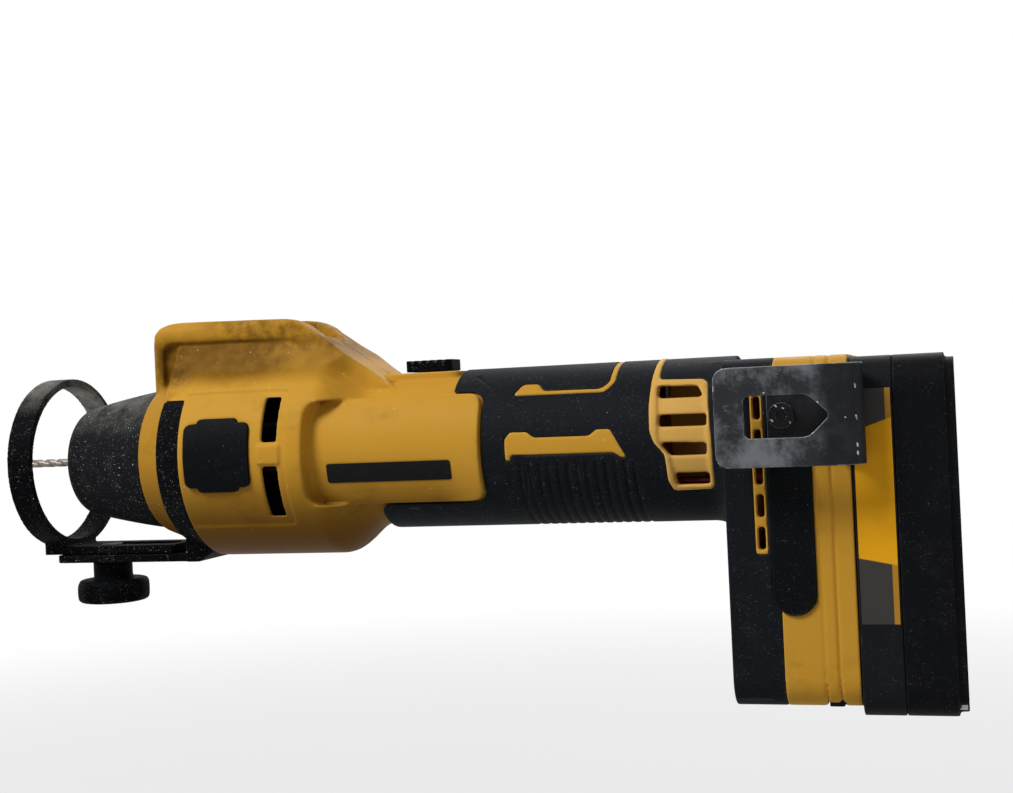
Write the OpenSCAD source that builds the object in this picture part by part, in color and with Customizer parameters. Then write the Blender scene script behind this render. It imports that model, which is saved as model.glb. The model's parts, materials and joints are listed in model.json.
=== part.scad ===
// Cordless drywall cut-out tool with a slide-on battery pack, in millimetres.
// X runs back along the spindle from the face of the depth guide, Y to the tool's right, Z up.

/* [Depth guide] */
// Outer radius of the guide's ring foot
guide_r = 33.5; // [30:0.5:40]
// Wall of the ring foot
ring_wall = 3; // [2:0.1:4]
// Depth of the ring foot along the spindle
ring_len = 9.5; // [6:0.5:12]
// Thickness of the guide's arm
guide_t = 3.2; // [1.6:0.1:4]
// Forward travel of the guide
guide_travel = 26; // [16:1:29]
// Width of the guide's arm
arm_w = 22; // [18:0.5:26]
// Length of the arm, from the ring's face
arm_len = 57; // [56:0.5:64]
// Distance of the knob from the ring's face
knob_x = 23.5; // [18:0.5:30]
// Diameter of the thumb knob
knob_d = 29; // [24:0.5:34]

/* [Nose] */
// Distance from the ring's face to the nose boot
boot_standoff = 16.5; // [12:0.5:20]
// Visible length of the nose boot
boot_len = 36.5; // [34:0.5:44]
// Radius of the boot's front rim
boot_front_r = 20.6; // [16:0.2:21]
// Radius of the boot where it meets the housing
boot_rear_r = 27.3; // [25.5:0.1:28.5]
// Wall of the boot
boot_wall = 2.4; // [1.6:0.1:3]
// Shank diameter of the cutting bit
bit_d = 3.175; // [3:0.005:4]
// Reach of the bit past the ring's face
bit_reach = 14; // [6:0.5:26]

/* [Housing] */
// Wall of the moulded housing
wall = 2.8; // [2:0.1:3.4]
// Length of the front collar
collar_len = 10.5; // [9:0.5:14]
// Radius of the collar's front edge
collar_r = 28.8; // [28.2:0.1:30.5]
// Width of the guide bracket's band
band_len = 11; // [8:0.5:14]
// Length of the barrel
barrel_len = 51.5; // [48:0.5:64]
// Radius of the barrel
barrel_r = 38; // [36.5:0.5:42]
// Length of the taper from barrel to handle
taper_len = 19; // [16:0.5:26]
// Length of the handle
handle_len = 130; // [126:1:150]
// Radius of the handle over its rubber
handle_r = 28.9; // [28:0.1:32]
// Thickness of the rubber overmould
grip_t = 1.6; // [1:0.1:2]
// Height of the hump over the axis
hump_top = 52.6; // [51:0.2:56]
// Width of the hump
hump_w = 30; // [28:0.5:34]

/* [Badge] */
// Length of the badge panel
badge_len = 64; // [56:1:70]
// Height of the badge panel
badge_h = 38; // [30:1:40]
// Height of the panel over the rubber
badge_rise = 2; // [1:0.1:3]

/* [Drive] */
// Radius of the spindle's shaft
spindle_r = 4; // [3.5:0.1:4.5]
// Length of the stator's core
stator_len = 38; // [30:1:40]
// Radius of the cooling fan
fan_r = 30; // [26:0.5:32]
// Number of fan blades
fan_blades = 11; // [7:1:15]
// Travel of the power switch
switch_travel = 6; // [4:0.5:7]

/* [Foot] */
// Length of the battery foot
foot_len = 41; // [40:0.5:48]
// Width of the foot and the pack
foot_w = 76; // [75:0.5:84]
// Height of the foot's top over the axis
foot_top = 27; // [26.5:0.5:32]
// Depth of the foot's end below the axis
foot_drop = 88; // [86:1:100]

/* [Belt hook] */
// Width of the hook's plate
hook_w = 32; // [26:0.5:34]
// Thickness of the hook's plate
hook_t = 2; // [1.4:0.1:2.6]
// Gap for the belt
hook_gap = 12; // [9:0.5:16]

/* [Battery pack] */
// Length of the pack behind the foot
pack_len = 32.7; // [32.5:0.1:40]
// Diameter of a cell
cell_d = 18.3; // [18:0.1:18.5]
// Length of a cell
cell_len = 65; // [60:0.5:66]

/* [Fits] */
// Clearance between pieces that move past each other
slide_gap = 0.3; // [0.2:0.05:0.45]
// Clearance between fixed pieces
seat_gap = 0.05; // [0.02:0.01:0.1]
// Radial clearance of a pin or shaft that turns
shaft_gap = 0.06; // [0.03:0.01:0.1]

/* [Hidden] */
$fn = 48;

// Overshoot of a cut past the face it opens
over = 1;
// Reach of a cut that goes right through
through = 200;

// Stations along the spindle
shell_x = boot_standoff + boot_len;
band_x = shell_x + collar_len;
barrel_x = band_x + band_len;
taper_x = barrel_x + barrel_len;
handle_x = taper_x + taper_len;
foot_x = handle_x + handle_len;
pack_x = foot_x + foot_len;
case_x = pack_x + slide_gap;
pack_end_x = case_x + pack_len;

// Radii of the housing
core_r = handle_r - grip_t;
chamber_r = core_r - wall;
barrel_lip = 1.4;
band_top_r = barrel_r - barrel_lip;
band_t = 5.6;
groove_r = band_top_r - band_t;
carrier_room_r = groove_r - wall;
collar_edge = 1.2;
taper_steps = 10;
arc_steps = 5;

// Hump with the bit lever's channel
hump_half = hump_w / 2;
hump_nose = 12;
hump_round = 5;
hump_fall = 1.2;
hump_edge = 5;
hump_rear_x = taper_x - 11;
slope_x = taper_x + 10.5;
slope_z = barrel_r - 2.5;
hump_tail = 8;
rim_t = 5.5;
rim_h = 8;
neck_inset = 2.6;
neck_foot_half = 24;
neck_foot_z = 26;
band_end_z = 22;
channel_half = 8;
channel_x = shell_x + 9;
channel_floor = hump_top - 9;
lever_x = shell_x + 17;
lever_z = channel_floor + 4.4;
lever_pin_r = 1.5;
pin_half = hump_half - 1;
lever_hub_r = 4;
lever_len = 42;
lever_t = 3.8;
lobe_reach = 6.2;
lobe_half = 1.2;
yoke_half = 3;
yoke_t = 2.5;
yoke_x = lever_x + lever_hub_r + 0.8;
yoke_travel = 2.55;
yoke_top = channel_floor + 1.6;
yoke_ring_r = 12;
light_half = 7;
light_z = channel_floor - 4.5;
light_h = 7;
light_depth = 7;
lens_t = 2.8;
light_board_t = 1.6;

// Panel, vents and badge on the barrel's sides
panel_x1 = taper_x - 8;
panel_half = 25;
panel_sink = 0.8;
pad_x0 = barrel_x + 3;
pad_len = 26;
pad_z0 = -10;
pad_z1 = 13.5;
pad_tab = 1.7;
pad_tab_inset = 5;
pad_rise = 0.5;
pad_sink = 0.6;
exhaust_x = taper_x - 17.8;
exhaust_w = 6.2;
exhaust_spans = [[-21.2, -2.8], [5.9, 22]];
bridge_inset = 1;
badge_x0 = taper_x - 1.5;
badge_x1 = badge_x0 + badge_len;
badge_z = 1;
badge_r = handle_r + badge_rise;
badge_corner = 6;
plate_lead = 6.5;
plate_tail = 10.5;
plate_z0 = -9.9;
plate_z1 = -3;
plate_t = 0.5;
plate_rise = 0.2;

// Rubber grip
grip_x0 = handle_x + 2.5;
grip_seam = 0.5;
tongue_z = badge_z - badge_h / 2 - 0.8;
tongue_round = 4;
fillet_r = 8;
skin_len = 17;
skin_x1 = foot_x + skin_len;
// Length of handle for which the grip's lines are drawn
handle_drawn = 130;
grip_k = handle_len / handle_drawn;
rib_lead = 57;
rib_x0 = handle_x + rib_lead * grip_k;
rib_count = 13;
rib_pitch = 3.4;
rib_w = 1.3;
rib_depth = 0.7;
rib_z = -5.3;
motif_lead = 52.5;
motif_x = handle_x + motif_lead * grip_k;
motif_r = handle_r - 0.15;
vent_x1 = foot_x - 4.7;
vent_r = handle_r + 0.3;
// Height over which a line in the grip runs on across the handle's top
crest = 2 * handle_r;
// Yellow banner in the grip, as x from its front end and z
motif_points = [
  [0, -4.3], [2.1, -4.3], [2.1, -2.2], [39.1, -2.6], [41.2, -4.4], [43.3, -4.4], [37.8, 5.5],
  [32.9, 5.6], [30.2, 3.6], [10.6, 3.7], [8.2, 5.6], [2, 5.7], [0, 3.4]
];
// Yellow line over the banner, with a tab in front and a turn up across the top
accent_points = [
  [2, 18.3], [35.2, 18.2], [38.6, 21.5], [38.6, crest], [36.5, crest], [36.5, 21.6],
  [33.7, 19.5], [13, 19.6], [11, 22.1], [5.1, 22.2]
];
// Groove at the upper pad's edge, in front of that line
pad_edge_points = [
  [2.6, 17.9], [-0.3, 18], [-4.4, 19.5], [-8.1, 22.4], [-13.5, 25.5], [-13.2, 26.3],
  [-7.8, 23.2], [-4.1, 20.3], [-0.2, 18.7], [2.6, 18.6]
];
// Frame of the intake slots, as x from its rear edge and z
vent_points = [
  [-20.4, crest], [-21.2, 21.3], [-21.6, 12.6], [-21.2, 4], [-20, 0.5], [-16.3, -4], [-16, -13],
  [-14.3, -16.5], [-1.2, -16.2], [0, -14.2], [0, 0], [-1.5, 19.9], [-3.5, 21.2], [-18.6, 21.6],
  [-18.6, crest]
];
intake_slots = [
  [[-18.8, 15.1], [-2.9, 15.1], [-5.2, 18.9], [-18.9, 19.3]],
  [[-18.3, 5.5], [-1.8, 5.4], [-1.8, 9.4], [-18.3, 9.6]],
  [[-14.6, -4.4], [-2.1, -4.4], [-1.9, -0.2], [-18.4, 0.4]],
  [[-13.1, -14.4], [-1.8, -14.4], [-1.6, -10.3], [-13.8, -10.2]]
];
// Bars between the slots, set back behind the frame
grille_sink = 0.9;
grille_points = [
  [-19.2, 19.7], [-5, 19.3], [-2.7, 15.1], [-1.65, 9.4], [-1.65, -0.2], [-1.45, -10.3], [-1.6, -14.7],
  [-13.3, -14.7], [-14.1, -10.2], [-14.9, -4.6], [-18.8, 0.3], [-18.7, 9.6]
];
web_half = 1.2;

// Bearings and spindle
carrier_x0 = shell_x + 5;
carrier_len = 12;
front_race_x = carrier_x0 + 0.5;
front_race_len = 7;
front_race_r = 11;
front_shoulder_r = 8;
boot_seat_r = 24.4;
boot_spigot = 4.5;
boot_mouth_r = 9.6;
boot_rim = 4.5;
boot_mid = 14;
boot_swell = 3;
nose_r = 6.9;
bit_r = bit_d / 2;
nose_x = boot_standoff + 9.5;
nut_x = boot_standoff + 4;
nut_len = 13.5;
nut_r = 8.6;
nut_flat = 7.7;
nut_mouth_r = bit_r + 1.65;
nut_wall = 2.5;
socket_r = 4.6;
socket_len = 24;
collet_head = 3.2;
collet_slit = 0.6;
collet_solid = 6;
bit_seat = 22;
bit_point = 3;
collar_ring_x = yoke_x + yoke_t + yoke_travel + 0.8;
collar_ring_len = 3.5;
collar_ring_r = 10;
fan_x = exhaust_x - 10;
fan_len = 18;
// Fan's own radius, which keeps its room under a wider or narrower barrel
wheel_r = fan_r + barrel_r - 38;
fan_disc_t = 2;
fan_hub_r = 8;
fan_blade_t = 1.6;
fan_blade_in = 12;
stator_x = handle_x + 7;
stator_r = chamber_r - 0.4;
yoke_ring_t = 5;
tooth_count = 6;
tooth_w = 5;
tooth_tip_r = stator_r - 8.9;
coil_over = 4.5;
coil_half = 6;
air_gap = 0.6;
magnet_t = 2;
magnet_count = 4;
magnet_gap = 3;
magnet_r = tooth_tip_r - air_gap;
board_t = 1.5;
rear_rib_x = stator_x + stator_len + coil_over + 4;
rear_rib_lip = 1;
rear_race_len = 7;
rear_race_r = 11;
rear_rib_len = rear_rib_lip + rear_race_len + 1.5;
ball_count = 9;
race_wall = 2;

// Power switch on the handle's top
slider_x = handle_x + 9;
slider_len = 18;
slider_half = 7;
slider_h = 4.2;
slider_ribs = 5;
platform_half = 9.5;
platform_z = core_r + 1.3;
stem_x = slider_x + 7;
stem_len = 5;
stem_half = 2.6;
link_half = 3;
link_t = 1.2;
link_z = chamber_r - 1.6;
notch_half = link_half + 0.6;
switch_x = rear_rib_x + rear_rib_len + 10.5;
switch_len = 22;
switch_half = 5.5;
switch_z = 8;
switch_h = 12;
shelf_t = 3;
nub_len = 0.8;

// Battery foot
foot_corner = 10;
room_x0 = foot_x + grip_t + wall;
sleeve_x1 = foot_x + grip_t + over / 2;
foot_floor_x = foot_x + 28;
floor_t = 3;
room_inset = wall + grip_t;
rail_lip = 5.3;
rail_side = 4.7;
rail_over = 3.6;
channel_stop = 5;
strip_x = foot_x + 9.4;
strip_w = 4.2;
strip_slot_w = 2.4;
strip_z0 = -35.7;
strip_z1 = 14.4;
strip_slots = 5;
strip_bridge = 3.1;
hook_z = 8;
hook_leg_h = 20;
bumper_x = foot_x + 14.5;
bumper_w = 14;
bumper_z0 = -57;
bumper_z1 = hook_z - hook_leg_h / 2 - 0.4;
bumper_sink = 1.2;
bumper_rise = 1.2;
flange_x = foot_x + 29.5;
flange_groove = 1.2;
flange_sink = 0.9;

// Screws that close the housing, as x and z
screw_r = 1.5;
screw_head_r = 3;
screw_head_h = 2.4;
screw_seat = 14;
screw_end = -14;
boss_r = 3.4;
well_r = 4.6;
screw_places = [
  [barrel_x + 9, barrel_r - 9.5], [barrel_x + 9, 9.5 - barrel_r],
  [taper_x - 2, barrel_r - 9.5], [taper_x - 2, 9.5 - barrel_r],
  [rear_rib_x + 14.5, chamber_r - 11], [rear_rib_x + 14.5, 5 - chamber_r],
  [foot_x - 33, 5 - chamber_r], [foot_x + 21, foot_top - 6.5], [foot_x + 9, 9 - foot_drop]
];

// Terminals and electronics in the foot
term_z0 = -32;
term_z1 = -2;
term_half = 15;
term_flange = 3;
term_flange_t = 2.5;
blade_count = 4;
blade_pitch = 8;
blade_t = 0.8;
blade_z0 = -24;
blade_z1 = -8;
blade_len = 7.6;
tray_half = foot_w / 2 - 10;
tray_wall = 1.6;
tray_len = 11.8;
tray_z0 = -80;
tray_z1 = -38;
fet_count = 6;
fet_w = 6;
fet_h = 9;
fet_t = 3;
lead_r = 1.1;
lead_pitch = 6;
lead_z = -14.5;
lead_end = tray_z1 - 8;

// Belt hook on the foot's side
hook_x0 = foot_x;
hook_end_x = foot_x + 46.5;
hook_y = -foot_w / 2 - seat_gap;
hook_bend_r = hook_t + hook_gap / 2;
hook_bend_x = hook_end_x - hook_bend_r;
hook_corner = 5;
hook_window_h = 13.4;
hook_window_lead = 9.5;
hook_window_len = 27;
hook_screw_x = foot_x + 20;
hook_screw_r = 2;
hook_head_r = 4.2;
hook_head_h = 2.2;
hook_leg_x0 = bumper_x + 0.6;
insert_depth = 8.5;
insert_boss_r = 4.6;

// Guide bracket and depth guide
tongue_t = 3;
tongue_drop = 2.8;
bracket_x0 = 5.5;
bracket_half = arm_w / 2 + 1;
lug_half = bracket_half + 1.5;
guide_hole_r = guide_r - ring_wall;
bracket_z0 = -band_top_r - tongue_drop;
arm_z0 = bracket_z0 + tongue_t + slide_gap;
arm_z1 = arm_z0 + guide_t;
arm_room = 3.6;
lug_len = 5.5;
knob_r = knob_d / 2;
knob_boss_r = 7.6;
knob_boss_h = 7;
knob_h = 9.2;
knob_z1 = bracket_z0 - slide_gap;
knob_z0 = knob_z1 - knob_boss_h - knob_h;
knob_edge = 3.6;
knob_lobes = 6;
knob_scoop_r = 9;
knob_scoop = 1.4;
knob_screw_r = 2.1;
clamp_r = 4.2;
clamp_t = 1.5;
clamp_sink = 1.9;
arm_corner = 2;

// Battery pack
pack_z0 = -foot_drop - 3;
pack_z1 = foot_top - 1;
pack_corner = 10;
pack_wall = 2.4;
split_x = case_x + 13.5;
rail_x0 = foot_floor_x + floor_t / 2 + 0.6 + slide_gap;
rail_half = foot_w / 2 - rail_side - slide_gap;
neck_half = foot_w / 2 - rail_side - rail_over - slide_gap;
rail_z0 = -foot_drop + slide_gap;
rail_z1 = foot_top - channel_stop - slide_gap;
cell_x = pack_end_x - pack_wall - 1.4 - cell_d / 2 - 1.2;
cell_pitch = cell_d + 1;
cell_count = 5;
// Cell's own length, which keeps its room in a wider or narrower pack
cell_run = cell_len + foot_w - 76;
cell_z0 = pack_z0 + 18.8;
holder_y = foot_w / 2 - 14;
holder_over = 5;
holder_t = 7;
holder_z0 = cell_z0 - 4.8;
pack_board_half = foot_w / 2 - 16;
pack_board_up = 24;
pack_board_down = 30;
clip_gap = 0.15;
clip_t = 0.4;
slot_half = blade_t / 2 + clip_gap + clip_t + seat_gap;
label_x1 = case_x + 12.8;
label_z0 = -60;
label_z1 = 15.5;
label_t = 0.4;
label_sink = 0.3;
pack_screw_y = foot_w / 2 - 7;
pack_screw_z0 = pack_z0 + 5.6;
pack_screw_z1 = pack_z1 - 6.4;
pack_boss_r = 3.2;
pack_head_depth = 3;
latch_travel = 3.5;
latch_half = 0.12 * foot_w;
tooth_z0 = pack_z0 + 13.5;
tooth_z1 = tooth_z0 + 6.5;
tooth_grip = 2.2;
catch_t = 2;
latch_x1 = cell_x - cell_d / 2 - latch_travel - 0.6;
latch_toe_x1 = latch_x1 + 3;
latch_toe_z1 = cell_z0 - cell_d / 2 - 1.4;
press_half = 0.17 * foot_w;
press_x1 = case_x + 20.7;
press_lift = 1.2;
spring_r = 2.1;
spring_len = 10;
spring_stop_t = 3;
gauge_x = split_x + 7;
gauge_y = foot_w / 2 - 15;
gauge_r = 3.3;
gauge_flange = 1.1;
light_pitch = 4.2;
light_r = 1.25;
light_count = 3;

// Profiles and outlines
function ease(t) = (1 - cos(180 * t)) / 2;
function taper(x0, x1, r0, r1) =
  [for (i = [0:taper_steps]) let (t = i / taper_steps) [x0 + (x1 - x0) * t, r0 + (r1 - r0) * ease(t)]];
function bend(a, b, c) =
  [for (i = [0:arc_steps]) let (t = i / arc_steps, u = 1 - t) u * u * a + 2 * u * t * b + t * t * c];
function toward(p, q, d) = p + (q - p) * min(0.49, d / norm(q - p));
function soft(points, r) =
  let (k = len(points))
  [for (i = [0:k - 1])
    let (before = points[(i + k - 1) % k], after = points[(i + 1) % k])
    each bend(toward(points[i], before, r), points[i], toward(points[i], after, r))];
function rect(x0, x1, y0, y1) = [[x0, y0], [x1, y0], [x1, y1], [x0, y1]];
function shifted(points, x) = [for (p = points) [x + p[0], p[1]]];
function drawn(points) = [for (p = points) [motif_x + p[0] * grip_k, p[1]]];

// Solid turned about the spindle from points of [x, radius]
module turned(points) rotate([0, 90, 0]) rotate_extrude() polygon([for (p = points) [p[1], p[0]]]);
module tube(x0, x1, r_out, r_in) turned([[x0, r_in], [x1, r_in], [x1, r_out], [x0, r_out]]);
module rod(x0, x1, r) translate([x0, 0, 0]) rotate([0, 90, 0]) cylinder(h = x1 - x0, r = r);
module pin_y(x, z, y0, y1, r) translate([x, y1, z]) rotate([90, 0, 0]) cylinder(h = y1 - y0, r = r);
module pin_z(x, y, z0, z1, r) translate([x, y, z0]) cylinder(h = z1 - z0, r = r);
module block(x, y, z) translate([x[0], y[0], z[0]]) cube([x[1] - x[0], y[1] - y[0], z[1] - z[0]]);
// Outline in X and Z, carried across from y0 to y1
module across(y0, y1) translate([0, y1, 0]) rotate([90, 0, 0]) linear_extrude(y1 - y0) children();
// Outline in Y and Z, carried back from x0 to x1
module along(x0, x1) translate([x0, 0, 0]) rotate([90, 0, 90]) linear_extrude(x1 - x0) children();
// Outline in X and Y, carried up from z0 to z1
module upright(z0, z1) translate([0, 0, z0]) linear_extrude(z1 - z0) children();
module both_sides() {
  children();
  mirror([0, 1, 0]) children();
}
module left_half() {
  intersection() {
    children();
    block([-through, 3 * through], [-through, 0], [-through, through]);
  }
}
module right_half() {
  intersection() {
    children();
    block([-through, 3 * through], [0, through], [-through, through]);
  }
}
// Rounded rectangle with true round corners
module round_rect(x0, x1, y0, y1, r) {
  translate([x0 + r, y0]) square([x1 - x0 - 2 * r, y1 - y0]);
  translate([x0, y0 + r]) square([x1 - x0, y1 - y0 - 2 * r]);
  for (x = [x0 + r, x1 - r], y = [y0 + r, y1 - r]) translate([x, y]) circle(r);
}
// Part of the barrel's skin between two radii, inside an outline in X and Z on the left side
module skin(r_in, r_out) {
  intersection() {
    tube(shell_x - over, pack_x, r_out, r_in);
    across(-through, 0) children();
  }
}
// The same between a radius and the open air
module skin_cut(r) {
  difference() {
    across(-through, 0) children();
    rod(-through, 3 * through, r);
  }
}

module foot_outline(inset) {
  round_rect(
    inset - foot_w / 2,
    foot_w / 2 - inset,
    inset - foot_drop,
    foot_top - inset,
    foot_corner - inset
  );
}
module pack_outline(inset) {
  round_rect(
    inset - foot_w / 2,
    foot_w / 2 - inset,
    pack_z0 + inset,
    pack_z1 - inset,
    pack_corner - inset
  );
}
module badge_outline() {
  z0 = badge_z - badge_h / 2;
  polygon(soft(rect(badge_x0, badge_x1, z0, z0 + badge_h), badge_corner));
}
module plate_outline() {
  polygon(soft(rect(badge_x0 + plate_lead, badge_x1 - plate_tail, plate_z0, plate_z1), 1));
}
// Sunk panel, with a bridge left standing between the exhaust slots
module panel_outline() {
  low = exhaust_spans[0][1] + bridge_inset;
  high = exhaust_spans[1][0] - bridge_inset;
  difference() {
    polygon(soft(rect(barrel_x - over, panel_x1, -panel_half, panel_half), 3));
    polygon(rect(exhaust_x - bridge_inset, exhaust_x + exhaust_w + bridge_inset, low, high));
  }
}
module pad_outline() {
  polygon(soft(rect(pad_x0, pad_x0 + pad_len, pad_z0, pad_z1), 3));
  tab_x0 = pad_x0 + pad_tab_inset;
  tab_x1 = pad_x0 + pad_len - pad_tab_inset;
  polygon(soft(rect(tab_x0, tab_x1, pad_z0 - pad_tab, pad_z1 + pad_tab), 2));
}
module motif_outline() polygon(soft(drawn(motif_points), 0.7));
module accent_outline() polygon(soft(drawn(accent_points), 1.2));
module vent_outline() polygon(soft(shifted(vent_points, vent_x1), 0.8));
// Part of the grip's side that is left open round the badge and the switch
module window_outline() {
  x1 = badge_x1 + grip_seam;
  z1 = badge_z + badge_h / 2 + grip_seam;
  r = badge_corner;
  pad_x0 = slider_x + slider_len + 5;
  polygon(concat(
    [[grip_x0 - over, crest], [grip_x0 - over, tongue_z - tongue_round]],
    bend([grip_x0, tongue_z - tongue_round], [grip_x0, tongue_z], [grip_x0 + tongue_round, tongue_z]),
    bend([x1 - r, tongue_z], [x1, tongue_z], [x1, tongue_z + r]),
    bend([x1, z1 - r], [x1, z1], [x1 - r, z1]),
    [[pad_x0, z1], [pad_x0, crest]]
  ));
}
module bumper_outline(grow) {
  r = bumper_w / 2;
  translate([bumper_x - grow, bumper_z0 + r])
    square([bumper_w + 2 * grow, bumper_z1 - bumper_z0 - 2 * r]);
  for (z = [bumper_z0 + r, bumper_z1 - r]) translate([bumper_x + r, z]) circle(r + grow);
}
module strip_outline(grow) {
  round_rect(strip_x - grow, strip_x + strip_w + grow, strip_z0 - 1.5 - grow, strip_z1 + 1.5 + grow, 1);
}

// Housing
function shell_profile() = concat(
  [[shell_x, 0], [shell_x, collar_r - collar_edge], [shell_x + collar_edge, collar_r]],
  [[barrel_x, band_top_r], [barrel_x + barrel_lip, barrel_r]],
  taper(taper_x, handle_x, barrel_r, core_r),
  [[sleeve_x1, core_r], [sleeve_x1, 0]]
);
function cavity_profile() = concat(
  [[shell_x - over, 0], [shell_x - over, boot_seat_r], [carrier_x0, boot_seat_r]],
  [[carrier_x0, carrier_room_r], [barrel_x + wall, carrier_room_r], [barrel_x + wall, barrel_r - wall]],
  taper(taper_x, handle_x, barrel_r - wall, chamber_r),
  [[room_x0 + over, chamber_r], [room_x0 + over, 0]]
);

module hump_outline() {
  polygon(concat(
    [[shell_x, 0]],
    bend([shell_x, hump_top - hump_nose], [shell_x, hump_top], [shell_x + hump_nose, hump_top]),
    bend(
      [hump_rear_x - 6, hump_top - hump_fall],
      [hump_rear_x + 1, hump_top - hump_fall - 0.5],
      [hump_rear_x + 6, hump_top - hump_fall - 5]
    ),
    [[slope_x, slope_z], [handle_x + hump_tail, core_r - 4], [handle_x + hump_tail, 0]]
  ));
}
module hump_section() {
  polygon(concat(
    [[-hump_half, 0], [hump_half, 0]],
    bend([hump_half, hump_top - hump_edge], [hump_half, hump_top], [hump_half - hump_edge, hump_top]),
    bend([hump_edge - hump_half, hump_top], [-hump_half, hump_top], [-hump_half, hump_top - hump_edge])
  ));
}
module neck_section() {
  half = hump_half - neck_inset;
  top = hump_top - rim_h + 0.6;
  polygon([
    [-neck_foot_half, 0], [neck_foot_half, 0], [neck_foot_half, neck_foot_z], [half, top],
    [-half, top], [-neck_foot_half, neck_foot_z]
  ]);
}
// Plan of the neck, which narrows behind the hump and sinks into the taper
module neck_plan() {
  end = hump_half - neck_inset - over;
  polygon([
    [shell_x, -neck_foot_half], [hump_rear_x, -neck_foot_half], [handle_x + hump_tail, -end],
    [handle_x + hump_tail, end], [hump_rear_x, neck_foot_half], [shell_x, neck_foot_half]
  ]);
}
module scoop_outline() {
  polygon(soft([
    [shell_x + rim_t, 10], [shell_x + rim_t, hump_top - rim_h], [hump_rear_x, hump_top - rim_h - 1],
    [hump_rear_x + 10, slope_z - 3], [hump_rear_x + 13, 10]
  ], 5));
}
module hump() {
  intersection() {
    difference() {
      across(-hump_half, hump_half) hump_outline();
      both_sides() across(-hump_half - over, neck_inset - hump_half) scoop_outline();
    }
    along(shell_x - over, handle_x + hump_tail + over) hump_section();
    upright(-over, hump_top + over)
      polygon(soft(rect(shell_x, handle_x + 2 * hump_tail, -hump_half, hump_half), hump_round));
  }
  intersection() {
    across(-neck_foot_half, neck_foot_half) hump_outline();
    along(shell_x + 2 * rim_t, handle_x + hump_tail) neck_section();
    upright(-over, hump_top) neck_plan();
  }
}
// Channel, light pocket and hollow of the hump
module hump_cuts() {
  lobe_room = lobe_reach + slide_gap + 0.4;
  block(
    [channel_x, handle_x + hump_tail],
    [-channel_half, channel_half],
    [channel_floor, hump_top + over]
  );
  block(
    [lever_x - lobe_room, yoke_x + yoke_t + yoke_travel + slide_gap],
    [-yoke_half - slide_gap, yoke_half + slide_gap],
    [carrier_room_r - 5, channel_floor + over]
  );
  pin_y(lever_x, lever_z, -pin_half - seat_gap, pin_half + seat_gap, lever_pin_r + seat_gap);
  block(
    [shell_x - over, shell_x + light_depth],
    [-light_half - seat_gap, light_half + seat_gap],
    [light_z - light_h / 2 - seat_gap, light_z + light_h / 2 + seat_gap]
  );
  block(
    [barrel_x + 12, hump_rear_x],
    [-channel_half, channel_half],
    [barrel_r - 2 * wall, channel_floor - wall]
  );
}

module foot_block() {
  along(foot_x + grip_t, skin_x1 + over) foot_outline(grip_t);
  along(skin_x1, pack_x) foot_outline(0);
  both_sides() across(-foot_w / 2, -foot_w / 4) strip_outline(0);
}
module foot_cuts() {
  half = foot_w / 2;
  stop_z = foot_top - channel_stop;
  floor_x = foot_floor_x + floor_t / 2 + 0.6;
  block(
    [floor_x, pack_x - rail_lip],
    [rail_side - half, half - rail_side],
    [-foot_drop - over, stop_z]
  );
  block(
    [floor_x, pack_x + over],
    [rail_side + rail_over - half, half - rail_side - rail_over],
    [-foot_drop - over, stop_z]
  );
  block(
    [foot_floor_x - floor_t, pack_x - rail_lip],
    [-term_half - seat_gap, term_half + seat_gap],
    [term_z0 - seat_gap, term_z1 + seat_gap]
  );
  // Pocket of the pack's latch, over a catch with a relief below it
  pocket = [tooth_z0 - slide_gap, tooth_z1 + slide_gap];
  relief = [-foot_drop - over, tooth_z0 - slide_gap - catch_t];
  for (z = [pocket, relief]) {
    block(
      [floor_x - tooth_grip - slide_gap, floor_x + over],
      [-latch_half - slide_gap, latch_half + slide_gap],
      z
    );
  }
  both_sides() across(-half - over, bumper_sink - half) bumper_outline(seat_gap);
  for (x = [flange_x, flange_x + 4.5]) {
    along(x, x + flange_groove) {
      difference() {
        foot_outline(-over);
        foot_outline(flange_sink);
      }
    }
  }
  strip_step = (strip_z1 - strip_z0 + strip_bridge) / strip_slots;
  for (i = [0:strip_slots - 1]) {
    z = strip_z0 + i * strip_step;
    x = strip_x + (strip_w - strip_slot_w) / 2;
    both_sides()
      block(
        [x, x + strip_slot_w],
        [-half - over, over - half + room_inset],
        [z, z + strip_step - strip_bridge]
      );
  }
  both_sides() pin_y(hook_screw_x, hook_z, -half - over, insert_depth - half, hook_screw_r + seat_gap);
}
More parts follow.
